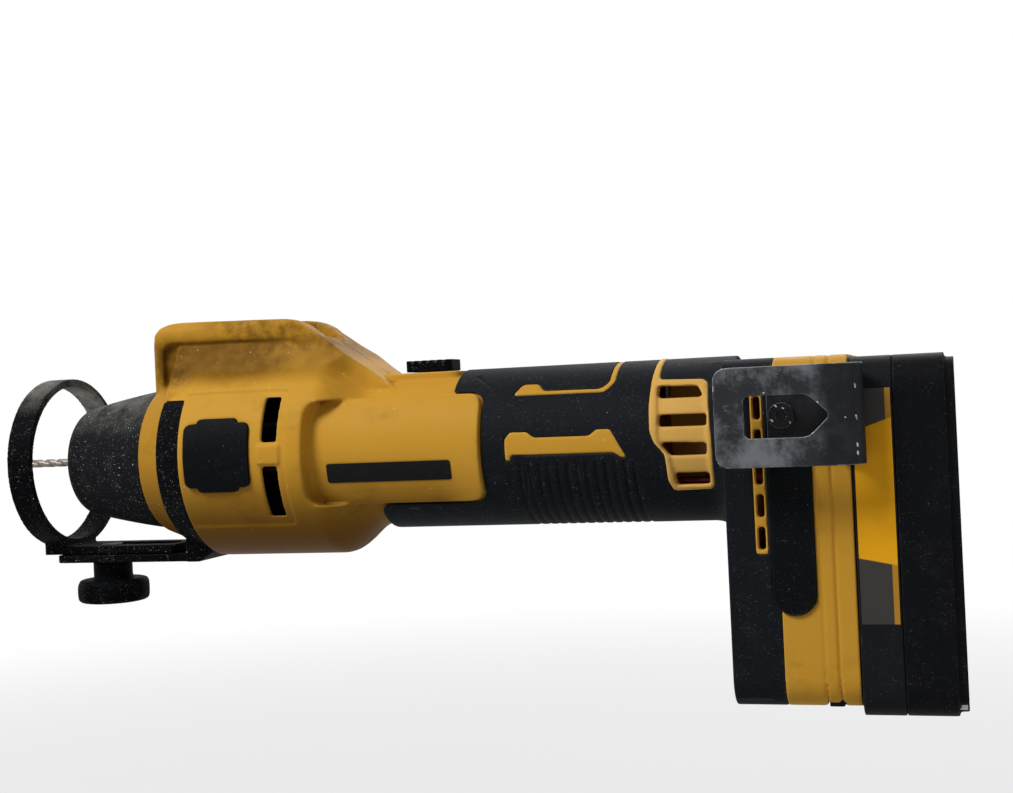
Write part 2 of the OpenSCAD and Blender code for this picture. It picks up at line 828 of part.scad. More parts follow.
// Ribs, shelves and screw bosses that stand in the shell's hollow
module inner_ribs() {
  rib_x1 = rear_rib_x + rear_rib_len;
  tube(carrier_x0 + carrier_len + seat_gap, barrel_x + over, barrel_r, carrier_room_r - 4);
  difference() {
    tube(rear_rib_x, rib_x1, barrel_r, rear_race_r - 1.5);
    rod(rear_rib_x + rear_rib_lip, rib_x1 + over, rear_race_r + seat_gap);
    block(
      [rear_rib_x - over, rib_x1 + over],
      [-notch_half, notch_half],
      [link_z - slide_gap, 2 * core_r]
    );
    for (i = [-1:1]) translate([0, i * lead_pitch, lead_z])
      rod(rear_rib_x - over, rib_x1 + over, lead_r + 0.3);
  }
  for (x = [switch_x + 1, switch_x + switch_len - shelf_t - 1]) {
    block(
      [x, x + shelf_t],
      [-barrel_r, barrel_r],
      [switch_z - seat_gap - shelf_t, switch_z - seat_gap]
    );
  }
  for (p = screw_places) {
    pin_y(p[0], p[1], -foot_w, foot_w, boss_r);
    pin_y(p[0], p[1], screw_seat - 2.5, foot_w, well_r);
  }
  both_sides() pin_y(hook_screw_x, hook_z, -foot_w, insert_depth + over - foot_w / 2, insert_boss_r);
  // Web behind the intake slots, open round the middle lead
  difference() {
    block([vent_x1 - 18.8, vent_x1 + over], [-web_half, web_half], [-barrel_r, barrel_r]);
    translate([0, 0, lead_z]) rod(vent_x1 - 20, vent_x1 + 2 * over, lead_r + 0.3);
  }
  // Backing of the badge where it is let into the barrel
  back_half = badge_h / 2 + wall;
  both_sides() skin(badge_r - wall, barrel_r)
    polygon(rect(badge_x0 - wall, handle_x, badge_z - back_half, badge_z + back_half));
}
module hollow() {
  difference() {
    union() {
      turned(cavity_profile());
      along(room_x0, foot_floor_x - floor_t / 2) foot_outline(room_inset);
    }
    inner_ribs();
  }
}
module screw_holes() {
  for (p = screw_places) {
    pin_y(p[0], p[1], screw_end - over, foot_w, screw_r + seat_gap);
    pin_y(p[0], p[1], screw_seat, foot_w, screw_head_r + 0.3);
  }
}
module side_features() {
  skin(core_r - wall, badge_r) badge_outline();
  skin(core_r - wall, motif_r) motif_outline();
  skin(core_r - wall, motif_r) accent_outline();
  skin(core_r - wall, vent_r) vent_outline();
}
module side_cuts() {
  skin_cut(barrel_r - panel_sink) panel_outline();
  skin_cut(barrel_r - panel_sink - pad_sink - seat_gap) pad_outline();
  skin_cut(badge_r + plate_rise - plate_t - seat_gap) plate_outline();
  skin_cut(badge_r) intersection() {
    badge_outline();
    polygon(rect(badge_x0 - over, handle_x, -barrel_r, barrel_r));
  }
  for (z = exhaust_spans) {
    skin_cut(wheel_r - 4)
      polygon(soft(rect(exhaust_x, exhaust_x + exhaust_w, z[0], z[1]), 0.8));
  }
  skin_cut(vent_r - grille_sink) polygon(soft(shifted(grille_points, vent_x1), 0.8));
  for (slot = intake_slots) skin_cut(chamber_r - 4) polygon(soft(shifted(slot, vent_x1), 0.7));
}
module switch_platform() {
  x0 = slider_x - switch_travel - 4;
  x1 = slider_x + slider_len + 4;
  upright(chamber_r - 4, platform_z) polygon(soft(rect(x0, x1, -platform_half, platform_half), 4));
}
module switch_cuts() {
  block(
    [stem_x - switch_travel - slide_gap, stem_x + stem_len + slide_gap],
    [-stem_half - slide_gap, stem_half + slide_gap],
    [chamber_r - 3, platform_z + over]
  );
}
module housing() {
  difference() {
    union() {
      turned(shell_profile());
      hump();
      foot_block();
      both_sides() side_features();
      switch_platform();
    }
    hollow();
    hump_cuts();
    foot_cuts();
    // Groove of the guide bracket, open below the hump's side walls
    intersection() {
      tube(band_x, barrel_x, 2 * barrel_r, groove_r);
      block([band_x - over, barrel_x + over], [-through, through], [-through, band_end_z + slide_gap]);
    }
    both_sides() side_cuts();
    switch_cuts();
    screw_holes();
  }
}
module housing_left() color("gold") left_half() housing();
module housing_right() color("goldenrod") right_half() housing();

// Rubber grip, moulded over the handle and round the foot's front edge
module grip() {
  bed_r = core_r + seat_gap;
  difference() {
    union() {
      tube(grip_x0, foot_x + grip_t, handle_r, bed_r);
      intersection() {
        turned(concat(
          [[foot_x - fillet_r, bed_r]],
          [for (i = [0:arc_steps]) let (a = 90 * i / arc_steps)
            [foot_x - fillet_r + fillet_r * sin(a), handle_r + fillet_r * (1 - cos(a))]],
          [[foot_x + grip_t, handle_r + fillet_r], [foot_x + grip_t, bed_r]]
        ));
        along(foot_x - fillet_r - over, foot_x + grip_t) foot_outline(0);
      }
      difference() {
        along(foot_x, skin_x1 - seat_gap) foot_outline(0);
        along(foot_x + grip_t - seat_gap, skin_x1 + over) foot_outline(grip_t - seat_gap);
        rod(foot_x - over, foot_x + grip_t + over, bed_r);
      }
    }
    across(-through, through) window_outline();
    both_sides() {
      across(-through, 0) motif_outline();
      across(-through, 0) accent_outline();
      across(-through, 0) vent_outline();
      across(-through, -foot_w / 4) strip_outline(seat_gap);
      across(-through, -foot_w / 4) bumper_outline(seat_gap);
      skin_cut(handle_r - rib_depth) polygon(drawn(pad_edge_points));
    }
    for (i = [0:rib_count - 1]) {
      x = rib_x0 + i * rib_pitch * grip_k;
      intersection() {
        tube(x, x + rib_w, 2 * handle_r, handle_r - rib_depth);
        block([x - over, x + rib_w + over], [-through, through], [-through, rib_z]);
      }
    }
    for (p = screw_places) pin_y(p[0], p[1], screw_seat, foot_w, screw_head_r + 0.3);
  }
}
module grip_left() color("dimgray") left_half() grip();
module grip_right() color("dimgray") right_half() grip();

module side_pads() {
  bed_r = barrel_r - panel_sink - pad_sink;
  color("black") both_sides() skin(bed_r, barrel_r + pad_rise) intersection() {
    pad_outline();
    polygon(rect(pad_x0 + seat_gap, pad_x0 + pad_len - seat_gap, -barrel_r, barrel_r));
  }
}
module label_plates() {
  color("black") both_sides() skin(badge_r + plate_rise - plate_t, badge_r + plate_rise)
    plate_outline();
}

// Nose boot with a spigot that plugs into the housing's front
module nose_boot() {
  flare_x = shell_x - 5;
  flare_r = boot_rear_r - 0.6;
  inner_front_r = boot_front_r - boot_wall;
  front = [boot_standoff, boot_front_r];
  middle = [boot_standoff + boot_mid, boot_front_r + boot_swell];
  color("darkslategray") turned(concat(
    [[boot_standoff, boot_mouth_r]],
    bend(front - [0, boot_rim], front, front + [boot_rim, boot_rim * boot_swell / boot_mid]),
    bend(middle, [flare_x - 8, flare_r - 1.2], [flare_x, flare_r]),
    [[shell_x - seat_gap, boot_rear_r], [shell_x - seat_gap, boot_seat_r - seat_gap]],
    [[shell_x + boot_spigot, boot_seat_r - seat_gap], [shell_x + boot_spigot, boot_seat_r - boot_wall]],
    [[flare_x, boot_seat_r - boot_wall], middle - [0, boot_wall]],
    [[boot_standoff + boot_wall, inner_front_r]],
    [[boot_standoff + boot_wall, boot_mouth_r]]
  ));
}

// Clip-on band with the tongue that the depth guide's arm slides on
module guide_bracket() {
  band_rise = 0.4;
  front_r = collar_r + (band_top_r - collar_r) * collar_len / (collar_len + band_len) + band_rise;
  color("dimgray") difference() {
    union() {
      intersection() {
        turned([
          [band_x + seat_gap, groove_r + seat_gap], [band_x + seat_gap, front_r],
          [barrel_x - seat_gap, band_top_r], [barrel_x - seat_gap, groove_r + seat_gap]
        ]);
        block([band_x, barrel_x], [-through, through], [-through, band_end_z]);
      }
      upright(bracket_z0, bracket_z0 + tongue_t)
        polygon(soft(rect(bracket_x0, band_x + lug_len, -bracket_half, bracket_half), 3));
      across(-lug_half, lug_half) polygon([
        [band_x + seat_gap, -groove_r], [band_x + seat_gap, bracket_z0], [band_x + lug_len, bracket_z0],
        [barrel_x - seat_gap, 0.5 - band_top_r], [barrel_x - seat_gap, -groove_r]
      ]);
    }
    // Room for the end of the arm, under the band
    block(
      [band_x - over, band_x + arm_room],
      [-arm_w / 2 - slide_gap, arm_w / 2 + slide_gap],
      [bracket_z0 + tongue_t, arm_z1 + slide_gap]
    );
    turned([
      [shell_x - over, 0], [shell_x - over, collar_r + slide_gap],
      [shell_x + collar_edge, collar_r + slide_gap],
      [band_x + seat_gap, front_r + slide_gap - band_rise], [band_x + seat_gap, groove_r + seat_gap],
      [barrel_x + over, groove_r + seat_gap], [barrel_x + over, 0]
    ]);
    pin_z(knob_x, 0, -through, through, knob_screw_r + shaft_gap);
  }
}

// Front and rear bearings
module bearing_carrier() {
  color("lightgray") turned([
    [carrier_x0 + seat_gap, front_race_r + seat_gap],
    [carrier_x0 + seat_gap, carrier_room_r - seat_gap],
    [carrier_x0 + carrier_len, carrier_room_r - seat_gap], [carrier_x0 + carrier_len, front_shoulder_r],
    [front_race_x + front_race_len + seat_gap, front_shoulder_r],
    [front_race_x + front_race_len + seat_gap, front_race_r + seat_gap]
  ]);
}
module outer_race(x, length, r) tube(x, x + length, r, r - race_wall);
module inner_race(x, length) tube(x, x + length, spindle_r + race_wall, spindle_r + seat_gap / 2);
module balls(x, r_out) {
  inner = spindle_r + race_wall;
  outer = r_out - race_wall;
  for (i = [0:ball_count - 1]) {
    rotate([i * 360 / ball_count, 0, 0])
      translate([x, 0, (inner + outer) / 2]) sphere(min((outer - inner) / 2 - shaft_gap, 1.5));
  }
}
module front_outer_race() color("silver") outer_race(front_race_x, front_race_len, front_race_r);
module front_balls() color("gray") balls(front_race_x + front_race_len / 2, front_race_r);
module front_inner_race() color("silver") inner_race(front_race_x, front_race_len);
rear_race_x = rear_rib_x + rear_rib_lip + seat_gap;
module rear_outer_race() color("silver") outer_race(rear_race_x, rear_race_len, rear_race_r);
module rear_balls() color("gray") balls(rear_race_x + rear_race_len / 2, rear_race_r);
module rear_inner_race() color("silver") inner_race(rear_race_x, rear_race_len);

// Motor
module teeth(half, x0, x1, r0, r1) {
  for (i = [0:tooth_count - 1]) rotate([i * 360 / tooth_count, 0, 0])
    block([x0, x1], [-half, half], [r0, r1]);
}
module stator_core() {
  x1 = stator_x + stator_len;
  color("slategray") difference() {
    union() {
      tube(stator_x, x1, stator_r, stator_r - yoke_ring_t);
      difference() {
        teeth(tooth_w / 2, stator_x, x1, tooth_tip_r - over, stator_r - yoke_ring_t / 2);
        rod(stator_x - over, x1 + over, tooth_tip_r);
      }
    }
    block([stator_x - over, x1 + over], [-notch_half, notch_half], [link_z - slide_gap, core_r]);
  }
}
module stator_coils() {
  r1 = sqrt(pow(stator_r - yoke_ring_t - 2 * seat_gap, 2) - coil_half * coil_half);
  color("chocolate") difference() {
    teeth(coil_half, stator_x - coil_over, stator_x + stator_len + coil_over, tooth_tip_r + 1.2, r1);
    teeth(
      tooth_w / 2 + seat_gap,
      stator_x - seat_gap,
      stator_x + stator_len + seat_gap,
      over,
      stator_r
    );
  }
}
module sensor_board() {
  x1 = rear_rib_x - seat_gap;
  color("seagreen") difference() {
    tube(x1 - board_t, x1, chamber_r - 0.6, spindle_r + 3);
    block([x1 - 2 * board_t, x1 + over], [-notch_half, notch_half], [link_z - slide_gap, core_r]);
  }
}
module spindle() {
  nose_x1 = front_race_x - seat_gap;
  color("lightsteelblue") turned([
    [nose_x + socket_len, 0], [nose_x + socket_len, socket_r], [nose_x, socket_r], [nose_x, nose_r],
    [nose_x1, nose_r], [nose_x1, spindle_r], [rear_race_x + rear_race_len, spindle_r],
    [rear_race_x + rear_race_len, 0]
  ]);
}
module rotor_core() {
  color("darkgray")
    tube(stator_x + 1, stator_x + stator_len - 1, magnet_r - magnet_t, spindle_r + seat_gap / 2);
}
module rotor_magnets() {
  x0 = stator_x + 1;
  x1 = stator_x + stator_len - 1;
  color("dimgray") difference() {
    tube(x0, x1, magnet_r, magnet_r - magnet_t + seat_gap);
    for (i = [0:magnet_count / 2 - 1]) {
      rotate([45 + i * 360 / magnet_count, 0, 0])
        block([x0 - over, x1 + over], [-magnet_gap / 2, magnet_gap / 2], [-stator_r, stator_r]);
    }
  }
}
module cooling_fan() {
  x1 = fan_x + fan_len;
  color("black") difference() {
    union() {
      rod(fan_x, x1, fan_hub_r);
      rod(fan_x, fan_x + fan_disc_t, wheel_r);
      for (i = [0:fan_blades - 1]) {
        rotate([i * 360 / fan_blades, 0, 0])
          block(
            [fan_x + 0.5, x1 - 2],
            [-fan_blade_t / 2, fan_blade_t / 2],
            [fan_blade_in, wheel_r - 0.5]
          );
      }
    }
    rod(fan_x - over, x1 + over, spindle_r + seat_gap / 2);
  }
}
module collet() {
  x1 = nose_x + socket_len - 0.2;
  head_x = nose_x - collet_head;
  color("gainsboro") difference() {
    turned([
      [head_x, bit_r + shaft_gap], [head_x, bit_r + 1.6], [nose_x - seat_gap, nose_r - 1.6],
      [nose_x - seat_gap, socket_r - seat_gap], [x1, socket_r - seat_gap], [x1, bit_r + shaft_gap]
    ]);
    for (a = [0, 60, 120]) {
      rotate([a, 0, 0])
        block(
          [head_x - over, x1 - collet_solid],
          [-collet_slit / 2, collet_slit / 2],
          [-nose_r, nose_r]
        );
    }
  }
}
module collet_nut() {
  x1 = nut_x + nut_len;
  color("slategray") difference() {
    intersection() {
      rod(nut_x, x1, nut_r);
      rotate([0, 90, 0]) cylinder(h = x1, r = nut_flat / cos(30), $fn = 6);
    }
    turned([
      [nut_x - over, 0], [nut_x - over, nut_mouth_r], [nut_x + nut_wall - 0.4, nut_mouth_r],
      [nose_x - seat_gap, nose_r - 1.5], [nose_x - seat_gap, nose_r + seat_gap],
      [x1 + over, nose_r + seat_gap],
      [x1 + over, 0]
    ]);
  }
}
module release_collar() {
  color("silver")
    tube(collar_ring_x, collar_ring_x + collar_ring_len, collar_ring_r, spindle_r + seat_gap / 2);
}
// Bit with a cutting length and a smooth pilot point
module cutting_bit() {
  color("silver") turned([
    [-bit_reach, 0], [-bit_reach, bit_r * 0.5], [bit_point - bit_reach, bit_r * 0.8],
    [bit_point - bit_reach + 1, bit_r], [nose_x + bit_seat, bit_r], [nose_x + bit_seat, 0]
  ]);
}

// Power switch
module switch_slider() {
  z0 = platform_z + slide_gap;
  rib_step = slider_len / (slider_ribs + 1);
  color("black") {
    difference() {
      union() {
        upright(z0, z0 + slider_h)
          polygon(soft(rect(slider_x, slider_x + slider_len, -slider_half, slider_half), 3));
        block([stem_x, stem_x + stem_len], [-stem_half, stem_half], [link_z + link_t, z0 + over]);
      }
      for (i = [1:slider_ribs]) {
        x = slider_x + i * rib_step;
        block(
          [x - 0.7, x + 0.7],
          [-slider_half - over, slider_half + over],
          [z0 + slider_h - 1, z0 + slider_h + over]
        );
      }
    }
  }
}
module switch_link() {
  tail_x = switch_x + switch_len + nub_len + switch_travel + slide_gap;
  color("gray") {
    block([stem_x - 1, tail_x + 3], [-link_half, link_half], [link_z, link_z + link_t]);
    block([tail_x, tail_x + 3], [-link_half, link_half], [switch_z + switch_h / 2, link_z + link_t]);
  }
}
module switch_body() {
  x1 = switch_x + switch_len;
  z = switch_z + switch_h * 0.7;
  color("darkslategray") {
    block([switch_x, x1], [-switch_half, switch_half], [switch_z, switch_z + switch_h]);
    translate([0, 0, z]) rod(x1 - over, x1 + nub_len, 1.5);
    for (x = [switch_x + 5, switch_x + switch_len / 2, x1 - 5])
      block([x - 0.4, x + 0.4], [-2, 2], [switch_z - 4, switch_z + over]);
  }
}

// Bit lever, its pin and the yoke that it pushes back
module lever_pin() color("silver") pin_y(lever_x, lever_z, -pin_half, pin_half, lever_pin_r);
module bit_lever() {
  half = channel_half - slide_gap;
  x1 = lever_x + lever_len;
  top = hump_top - 0.8;
  color("orange") difference() {
    union() {
      pin_y(lever_x, lever_z, -half, half, lever_hub_r);
      across(-half, half) polygon(concat(
        [[lever_x, top - lever_t], [lever_x, lever_z + lever_hub_r - 0.2]],
        bend([x1 - 12, top - 3.4], [x1 - 4, top - 4.6], [x1, top - 3.2]),
        [[x1, top - 3.2 - lever_t / 2], [x1 - 6, top - 3.4 - lever_t]],
        [[lever_x + lever_hub_r, top - lever_t - 0.6]]
      ));
      block(
        [lever_x - lobe_half, lever_x + lobe_half],
        [-yoke_half, yoke_half],
        [lever_z - lobe_reach, lever_z]
      );
    }
    pin_y(lever_x, lever_z, -half - over, half + over, lever_pin_r + shaft_gap);
  }
}
module release_yoke() {
  color("gray") difference() {
    union() {
      block([yoke_x, yoke_x + yoke_t], [-yoke_half, yoke_half], [yoke_ring_r - 2, yoke_top]);
      rod(yoke_x, yoke_x + yoke_t, yoke_ring_r);
    }
    rod(yoke_x - over, yoke_x + yoke_t + over, spindle_r + 2.5);
  }
}
module led_board() {
  x1 = shell_x + light_depth - seat_gap;
  color("seagreen")
    block(
      [x1 - light_board_t, x1],
      [-light_half, light_half],
      [light_z - light_h / 2, light_z + light_h / 2]
    );
}
module led_lens() {
  x1 = shell_x + light_depth - light_board_t - 2 * seat_gap;
  color("lightcyan") {
    block(
      [shell_x, shell_x + lens_t],
      [-light_half, light_half],
      [light_z - light_h / 2, light_z + light_h / 2]
    );
    for (y = [-light_half / 2, light_half / 2]) translate([0, y, light_z])
      rod(shell_x + lens_t - over, x1, 2.2);
  }
}

// Depth guide, its knob and the clamp screw
module slot_outline(half) {
  x1 = knob_x + guide_travel;
  polygon(rect(knob_x, x1, -half, half));
  for (x = [knob_x, x1]) translate([x, 0]) circle(half);
}
module depth_guide() {
  half = arm_w / 2;
  color("dimgray") difference() {
    union() {
      rod(0, ring_len, guide_r);
      block([0, ring_len], [-half, half], [arm_z0, -guide_hole_r - over]);
      upright(arm_z0, arm_z1) polygon(concat(
        [[0, -half]],
        bend([arm_len - arm_corner, -half], [arm_len, -half], [arm_len, arm_corner - half]),
        bend([arm_len, half - arm_corner], [arm_len, half], [arm_len - arm_corner, half]),
        [[0, half]]
      ));
    }
    rod(-over, ring_len + over, guide_hole_r);
    upright(arm_z0 - over, arm_z1 + over) slot_outline(knob_screw_r + 0.4);
    upright(arm_z1 - clamp_sink, arm_z1 + over) slot_outline(clamp_r + slide_gap);
  }
}
module guide_knob() {
  head_z = knob_z0 + knob_h;
  color("black") difference() {
    union() {
      pin_z(knob_x, 0, knob_z1 - knob_boss_h - over, knob_z1, knob_boss_r);
      difference() {
        translate([knob_x, 0, 0]) rotate_extrude() polygon(concat(
          [[0, knob_z0]],
          bend([knob_r - knob_edge, knob_z0], [knob_r, knob_z0], [knob_r, knob_z0 + knob_edge]),
          bend([knob_r, head_z - knob_edge], [knob_r, head_z], [knob_r - knob_edge, head_z]),
          [[0, head_z]]
        ));
        for (i = [0:knob_lobes - 1]) {
          a = 30 + i * 360 / knob_lobes;
          reach = knob_r + knob_scoop_r - knob_scoop;
          pin_z(
            knob_x + reach * cos(a),
            reach * sin(a),
            knob_z0 - over,
            head_z + over,
            knob_scoop_r
          );
        }
      }
    }
    pin_z(knob_x, 0, knob_z0 + knob_h / 2, knob_z1 + over, knob_screw_r + seat_gap / 2);
  }
}
module knob_screw() {
  head_z = arm_z1 - clamp_sink + slide_gap;
  color("silver") {
    pin_z(knob_x, 0, knob_z0 + knob_h / 2 + seat_gap, head_z + over, knob_screw_r);
    pin_z(knob_x, 0, head_z, head_z + clamp_t, clamp_r);
  }
}

// Electronics in the foot
module terminal_block() {
  inner_x = foot_floor_x - floor_t / 2 - seat_gap;
  nose_end = foot_floor_x + floor_t / 2 + 0.6;
  grow = term_flange;
  color("gold") {
    block(
      [inner_x - term_flange_t, inner_x],
      [-term_half - grow, term_half + grow],
      [term_z0 - grow, term_z1 + grow]
    );
    block([inner_x - over, nose_end], [-term_half, term_half], [term_z0, term_z1]);
  }
}
function blade_y(i) = (i - (blade_count - 1) / 2) * blade_pitch;
module terminal_blades() {
  x0 = foot_floor_x + floor_t / 2 + 0.6;
  color("peru") {
    for (i = [0:blade_count - 1]) {
      block(
        [x0, x0 + blade_len],
        [blade_y(i) - blade_t / 2, blade_y(i) + blade_t / 2],
        [blade_z0, blade_z1]
      );
    }
  }
}
tray_x1 = foot_floor_x - floor_t / 2 - 0.2;
module controller_tray() {
  x0 = tray_x1 - tray_len;
  inner = tray_half - tray_wall;
  color("lightgray") difference() {
    block([x0, tray_x1], [-tray_half, tray_half], [tray_z0, tray_z1]);
    block([x0 - over, tray_x1 - tray_wall], [-inner, inner], [tray_z0 + tray_wall, tray_z1 + over]);
  }
}
board_x = tray_x1 - tray_len + 3;
module controller_board() {
  half = tray_half - tray_wall - 0.2;
  z0 = tray_z0 + tray_wall + 0.2;
  step = 2 * half / fet_count;
  color("seagreen") {
    block([board_x, board_x + board_t], [-half, half], [z0, tray_z1 - 1]);
    for (i = [0:fet_count - 1]) {
      y = (i + 0.5) * step - half;
      block(
        [board_x + board_t - 0.2, board_x + board_t + fet_t],
        [y - fet_w / 2, y + fet_w / 2],
        [z0 + 4, z0 + 4 + fet_h]
      );
    }
    translate([board_x + board_t - 0.2, 0, z0 + 25]) rotate([0, 90, 0]) cylinder(h = 5, r = 5);
  }
}
module motor_leads() {
  x0 = rear_rib_x;
  x1 = board_x - lead_r - 0.2;
  color("firebrick") {
    for (i = [-1:1]) {
      translate([0, i * lead_pitch, 0]) {
        translate([0, 0, lead_z]) rod(x0, x1, lead_r);
        translate([x1, 0, lead_z]) sphere(lead_r);
        pin_z(x1, 0, lead_end, lead_z, lead_r);
      }
    }
  }
}

// Bumpers, belt hook and screws
module foot_bumpers() {
  half = foot_w / 2;
  color("black") both_sides() across(-half - bumper_rise, bumper_sink - half - seat_gap)
    bumper_outline(0);
}
module belt_hook() {
  z0 = hook_z - hook_w / 2;
  z1 = hook_z + hook_w / 2;
  leg_half = hook_leg_h / 2;
  inner_y = hook_y - hook_t;
  outer_y = inner_y - hook_gap;
  window_x0 = hook_x0 + hook_window_lead;
  window_x1 = window_x0 + hook_window_len;
  color("dimgray") {
    difference() {
      across(outer_y - hook_t, outer_y) polygon(concat(
        [[hook_bend_x, z0], [hook_bend_x, z1]],
        bend([hook_x0 + hook_corner, z1], [hook_x0, z1], [hook_x0, z1 - hook_corner]),
        bend([hook_x0, z0 + hook_corner], [hook_x0, z0], [hook_x0 + hook_corner, z0])
      ));
      across(outer_y - 2 * hook_t, outer_y + over) polygon(soft([
        [window_x0, hook_z - hook_window_h / 2], [window_x1 - 7, hook_z - hook_window_h / 2],
        [window_x1, hook_z],
        [window_x1 - 7, hook_z + hook_window_h / 2], [window_x0, hook_z + hook_window_h / 2]
      ], 2));
    }
    intersection() {
      translate([hook_bend_x, hook_y - hook_bend_r, z0]) {
        difference() {
          cylinder(h = hook_w, r = hook_bend_r);
          translate([0, 0, -over]) cylinder(h = hook_w + 2 * over, r = hook_bend_r - hook_t);
        }
      }
      block([hook_bend_x, hook_end_x + over], [-through, 0], [-through, through]);
    }
    difference() {
      across(inner_y, hook_y)
        polygon(soft(rect(hook_leg_x0, hook_bend_x + 1, hook_z - leg_half, hook_z + leg_half), 1));
      pin_y(hook_screw_x, hook_z, -foot_w, 0, hook_screw_r + 0.2);
      block([hook_bend_x, hook_end_x], [-foot_w, 0], [-through, through]);
    }
  }
}
module hook_screw() {
  y = hook_y - hook_t - seat_gap;
  color("silver") difference() {
    union() {
      pin_y(hook_screw_x, hook_z, y, insert_depth - foot_w / 2 - 0.5, hook_screw_r);
      pin_y(hook_screw_x, hook_z, y - hook_head_h, y, hook_head_r);
    }
    across(y - hook_head_h - over, y - hook_head_h / 2) translate([hook_screw_x, hook_z])
      circle(2, $fn = 6);
  }
}
module housing_screws() {
  color("silver") {
    for (p = screw_places) {
      difference() {
        union() {
          pin_y(p[0], p[1], screw_end, screw_seat + over, screw_r);
          pin_y(p[0], p[1], screw_seat + seat_gap, screw_seat + screw_head_h, screw_head_r);
        }
        across(screw_seat + screw_head_h / 2, screw_seat + 2 * screw_head_h) translate(p)
          circle(1.5, $fn = 6);
      }
    }
  }
}

// Battery pack
module pack_screw_posts(x0, x1, r) {
  for (y = [-pack_screw_y, pack_screw_y], z = [pack_screw_z0, pack_screw_z1]) translate([0, y, z])
    rod(x0, x1, r);
}
module pack_top_case() {
  room_x = case_x + pack_wall;
  press_room = press_half + slide_gap;
  latch_room = latch_half + slide_gap;
  color("darkslategray") difference() {
    union() {
      difference() {
        union() {
          along(case_x, split_x) pack_outline(0);
          block([rail_x0, pack_x - rail_lip - slide_gap], [-rail_half, rail_half], [rail_z0, rail_z1]);
          block([rail_x0, case_x + over], [-neck_half, neck_half], [rail_z0, rail_z1]);
        }
        along(room_x, split_x + over) pack_outline(pack_wall);
      }
      intersection() {
        pack_screw_posts(room_x - over, split_x, pack_boss_r);
        along(case_x, split_x) pack_outline(pack_wall / 2);
      }
    }
    pack_screw_posts(room_x + over, split_x + over, screw_r + seat_gap);
    for (i = [0:blade_count - 1]) {
      y = blade_y(i);
      block(
        [rail_x0 - over, rail_x0 + blade_len + 0.5],
        [y - slot_half, y + slot_half],
        [blade_z0 - 2, rail_z1 + over]
      );
    }
    block(
      [rail_x0 + pack_wall, room_x + over],
      [-neck_half + pack_wall, neck_half - pack_wall],
      [tooth_z1 + 6, blade_z0 - 5]
    );
    block(
      [rail_x0 - over, room_x + over],
      [-latch_room, latch_room],
      [tooth_z0 - slide_gap, tooth_z1 + slide_gap]
    );
    block(
      [latch_x1 - 5 - slide_gap, room_x + over],
      [-latch_room, latch_room],
      [pack_z0 + 3 + slide_gap + pack_wall, tooth_z1 + slide_gap]
    );
    block(
      [room_x, split_x + over],
      [-press_room, press_room],
      [pack_z0 - over, pack_z0 + pack_wall + over]
    );
    both_sides() {
      block(
        [case_x + 0.8, label_x1 + seat_gap],
        [-foot_w / 2 - over, label_sink - foot_w / 2],
        [label_z0 - seat_gap, label_z1 + seat_gap]
      );
    }
  }
}
module pack_base_case() {
  x0 = split_x + seat_gap;
  end_x = pack_end_x;
  press_room = press_half + slide_gap;
  stop_x = latch_toe_x1 + spring_len + seat_gap;
  edge = 3;
  color("black") difference() {
    union() {
      difference() {
        union() {
          along(x0, end_x - edge) pack_outline(0);
          along(end_x - edge - over, end_x) pack_outline(edge / 2);
        }
        along(x0 - over, end_x - pack_wall) pack_outline(pack_wall);
      }
      intersection() {
        pack_screw_posts(x0, end_x - over, pack_boss_r);
        along(x0, end_x) pack_outline(pack_wall / 2);
      }
      block(
        [stop_x, stop_x + spring_stop_t],
        [-6, 6],
        [pack_z0 + pack_wall / 2 + over, latch_toe_z1 + 1]
      );
      block([stop_x, end_x - over], [-6, 6], [pack_z0 + pack_wall + 0.6, pack_z0 + pack_wall + 1.6]);
    }
    pack_screw_posts(x0 - over, end_x + over, screw_r + seat_gap);
    pack_screw_posts(end_x - pack_head_depth, end_x + over, screw_head_r + 0.3);
    block(
      [x0 - over, press_x1 + latch_travel + slide_gap],
      [-press_room, press_room],
      [pack_z0 - over, pack_z0 + pack_wall + 0.6]
    );
    pin_z(gauge_x, gauge_y, pack_z0 - over, pack_z0 + 2 * pack_wall, gauge_r + slide_gap);
    for (i = [0:light_count - 1]) {
      pin_z(
        gauge_x,
        -gauge_y - (i - 1) * light_pitch,
        pack_z0 - over,
        pack_z0 + 2 * pack_wall,
        light_r + seat_gap
      );
    }
  }
}
function cell_z(i) = cell_z0 + i * cell_pitch;
module pack_cells() {
  color("teal") {
    for (i = [0:cell_count - 1]) {
      pin_y(cell_x, cell_z(i), -cell_run / 2, cell_run / 2 - 1, cell_d / 2);
      pin_y(cell_x, cell_z(i), cell_run / 2 - 2, cell_run / 2, cell_d / 4);
    }
  }
}
module cell_holder() {
  margin = 1.7;
  color("white") both_sides() difference() {
    block(
      [cell_x - cell_d / 2 - margin, cell_x + cell_d / 2 + margin],
      [-holder_y - holder_t, -holder_y],
      [holder_z0, cell_z(cell_count - 1) + holder_over]
    );
    for (i = [0:cell_count - 1]) pin_y(cell_x, cell_z(i), -foot_w, 0, cell_d / 2 + seat_gap);
  }
}
module pack_board() {
  x0 = case_x + pack_wall + 0.4;
  color("seagreen")
    block(
      [x0, x0 + board_t],
      [-pack_board_half, pack_board_half],
      [blade_z0 - pack_board_down, blade_z1 + pack_board_up]
    );
}
module pack_terminals() {
  gap = blade_t / 2 + clip_gap;
  color("peru") {
    for (i = [0:blade_count - 1], side = [-1, 1]) {
      y = blade_y(i) + side * (gap + clip_t / 2);
      block(
        [rail_x0 + 1, rail_x0 + blade_len + 0.4],
        [y - clip_t / 2, y + clip_t / 2],
        [blade_z0 - 1, blade_z1 - 4]
      );
    }
  }
}
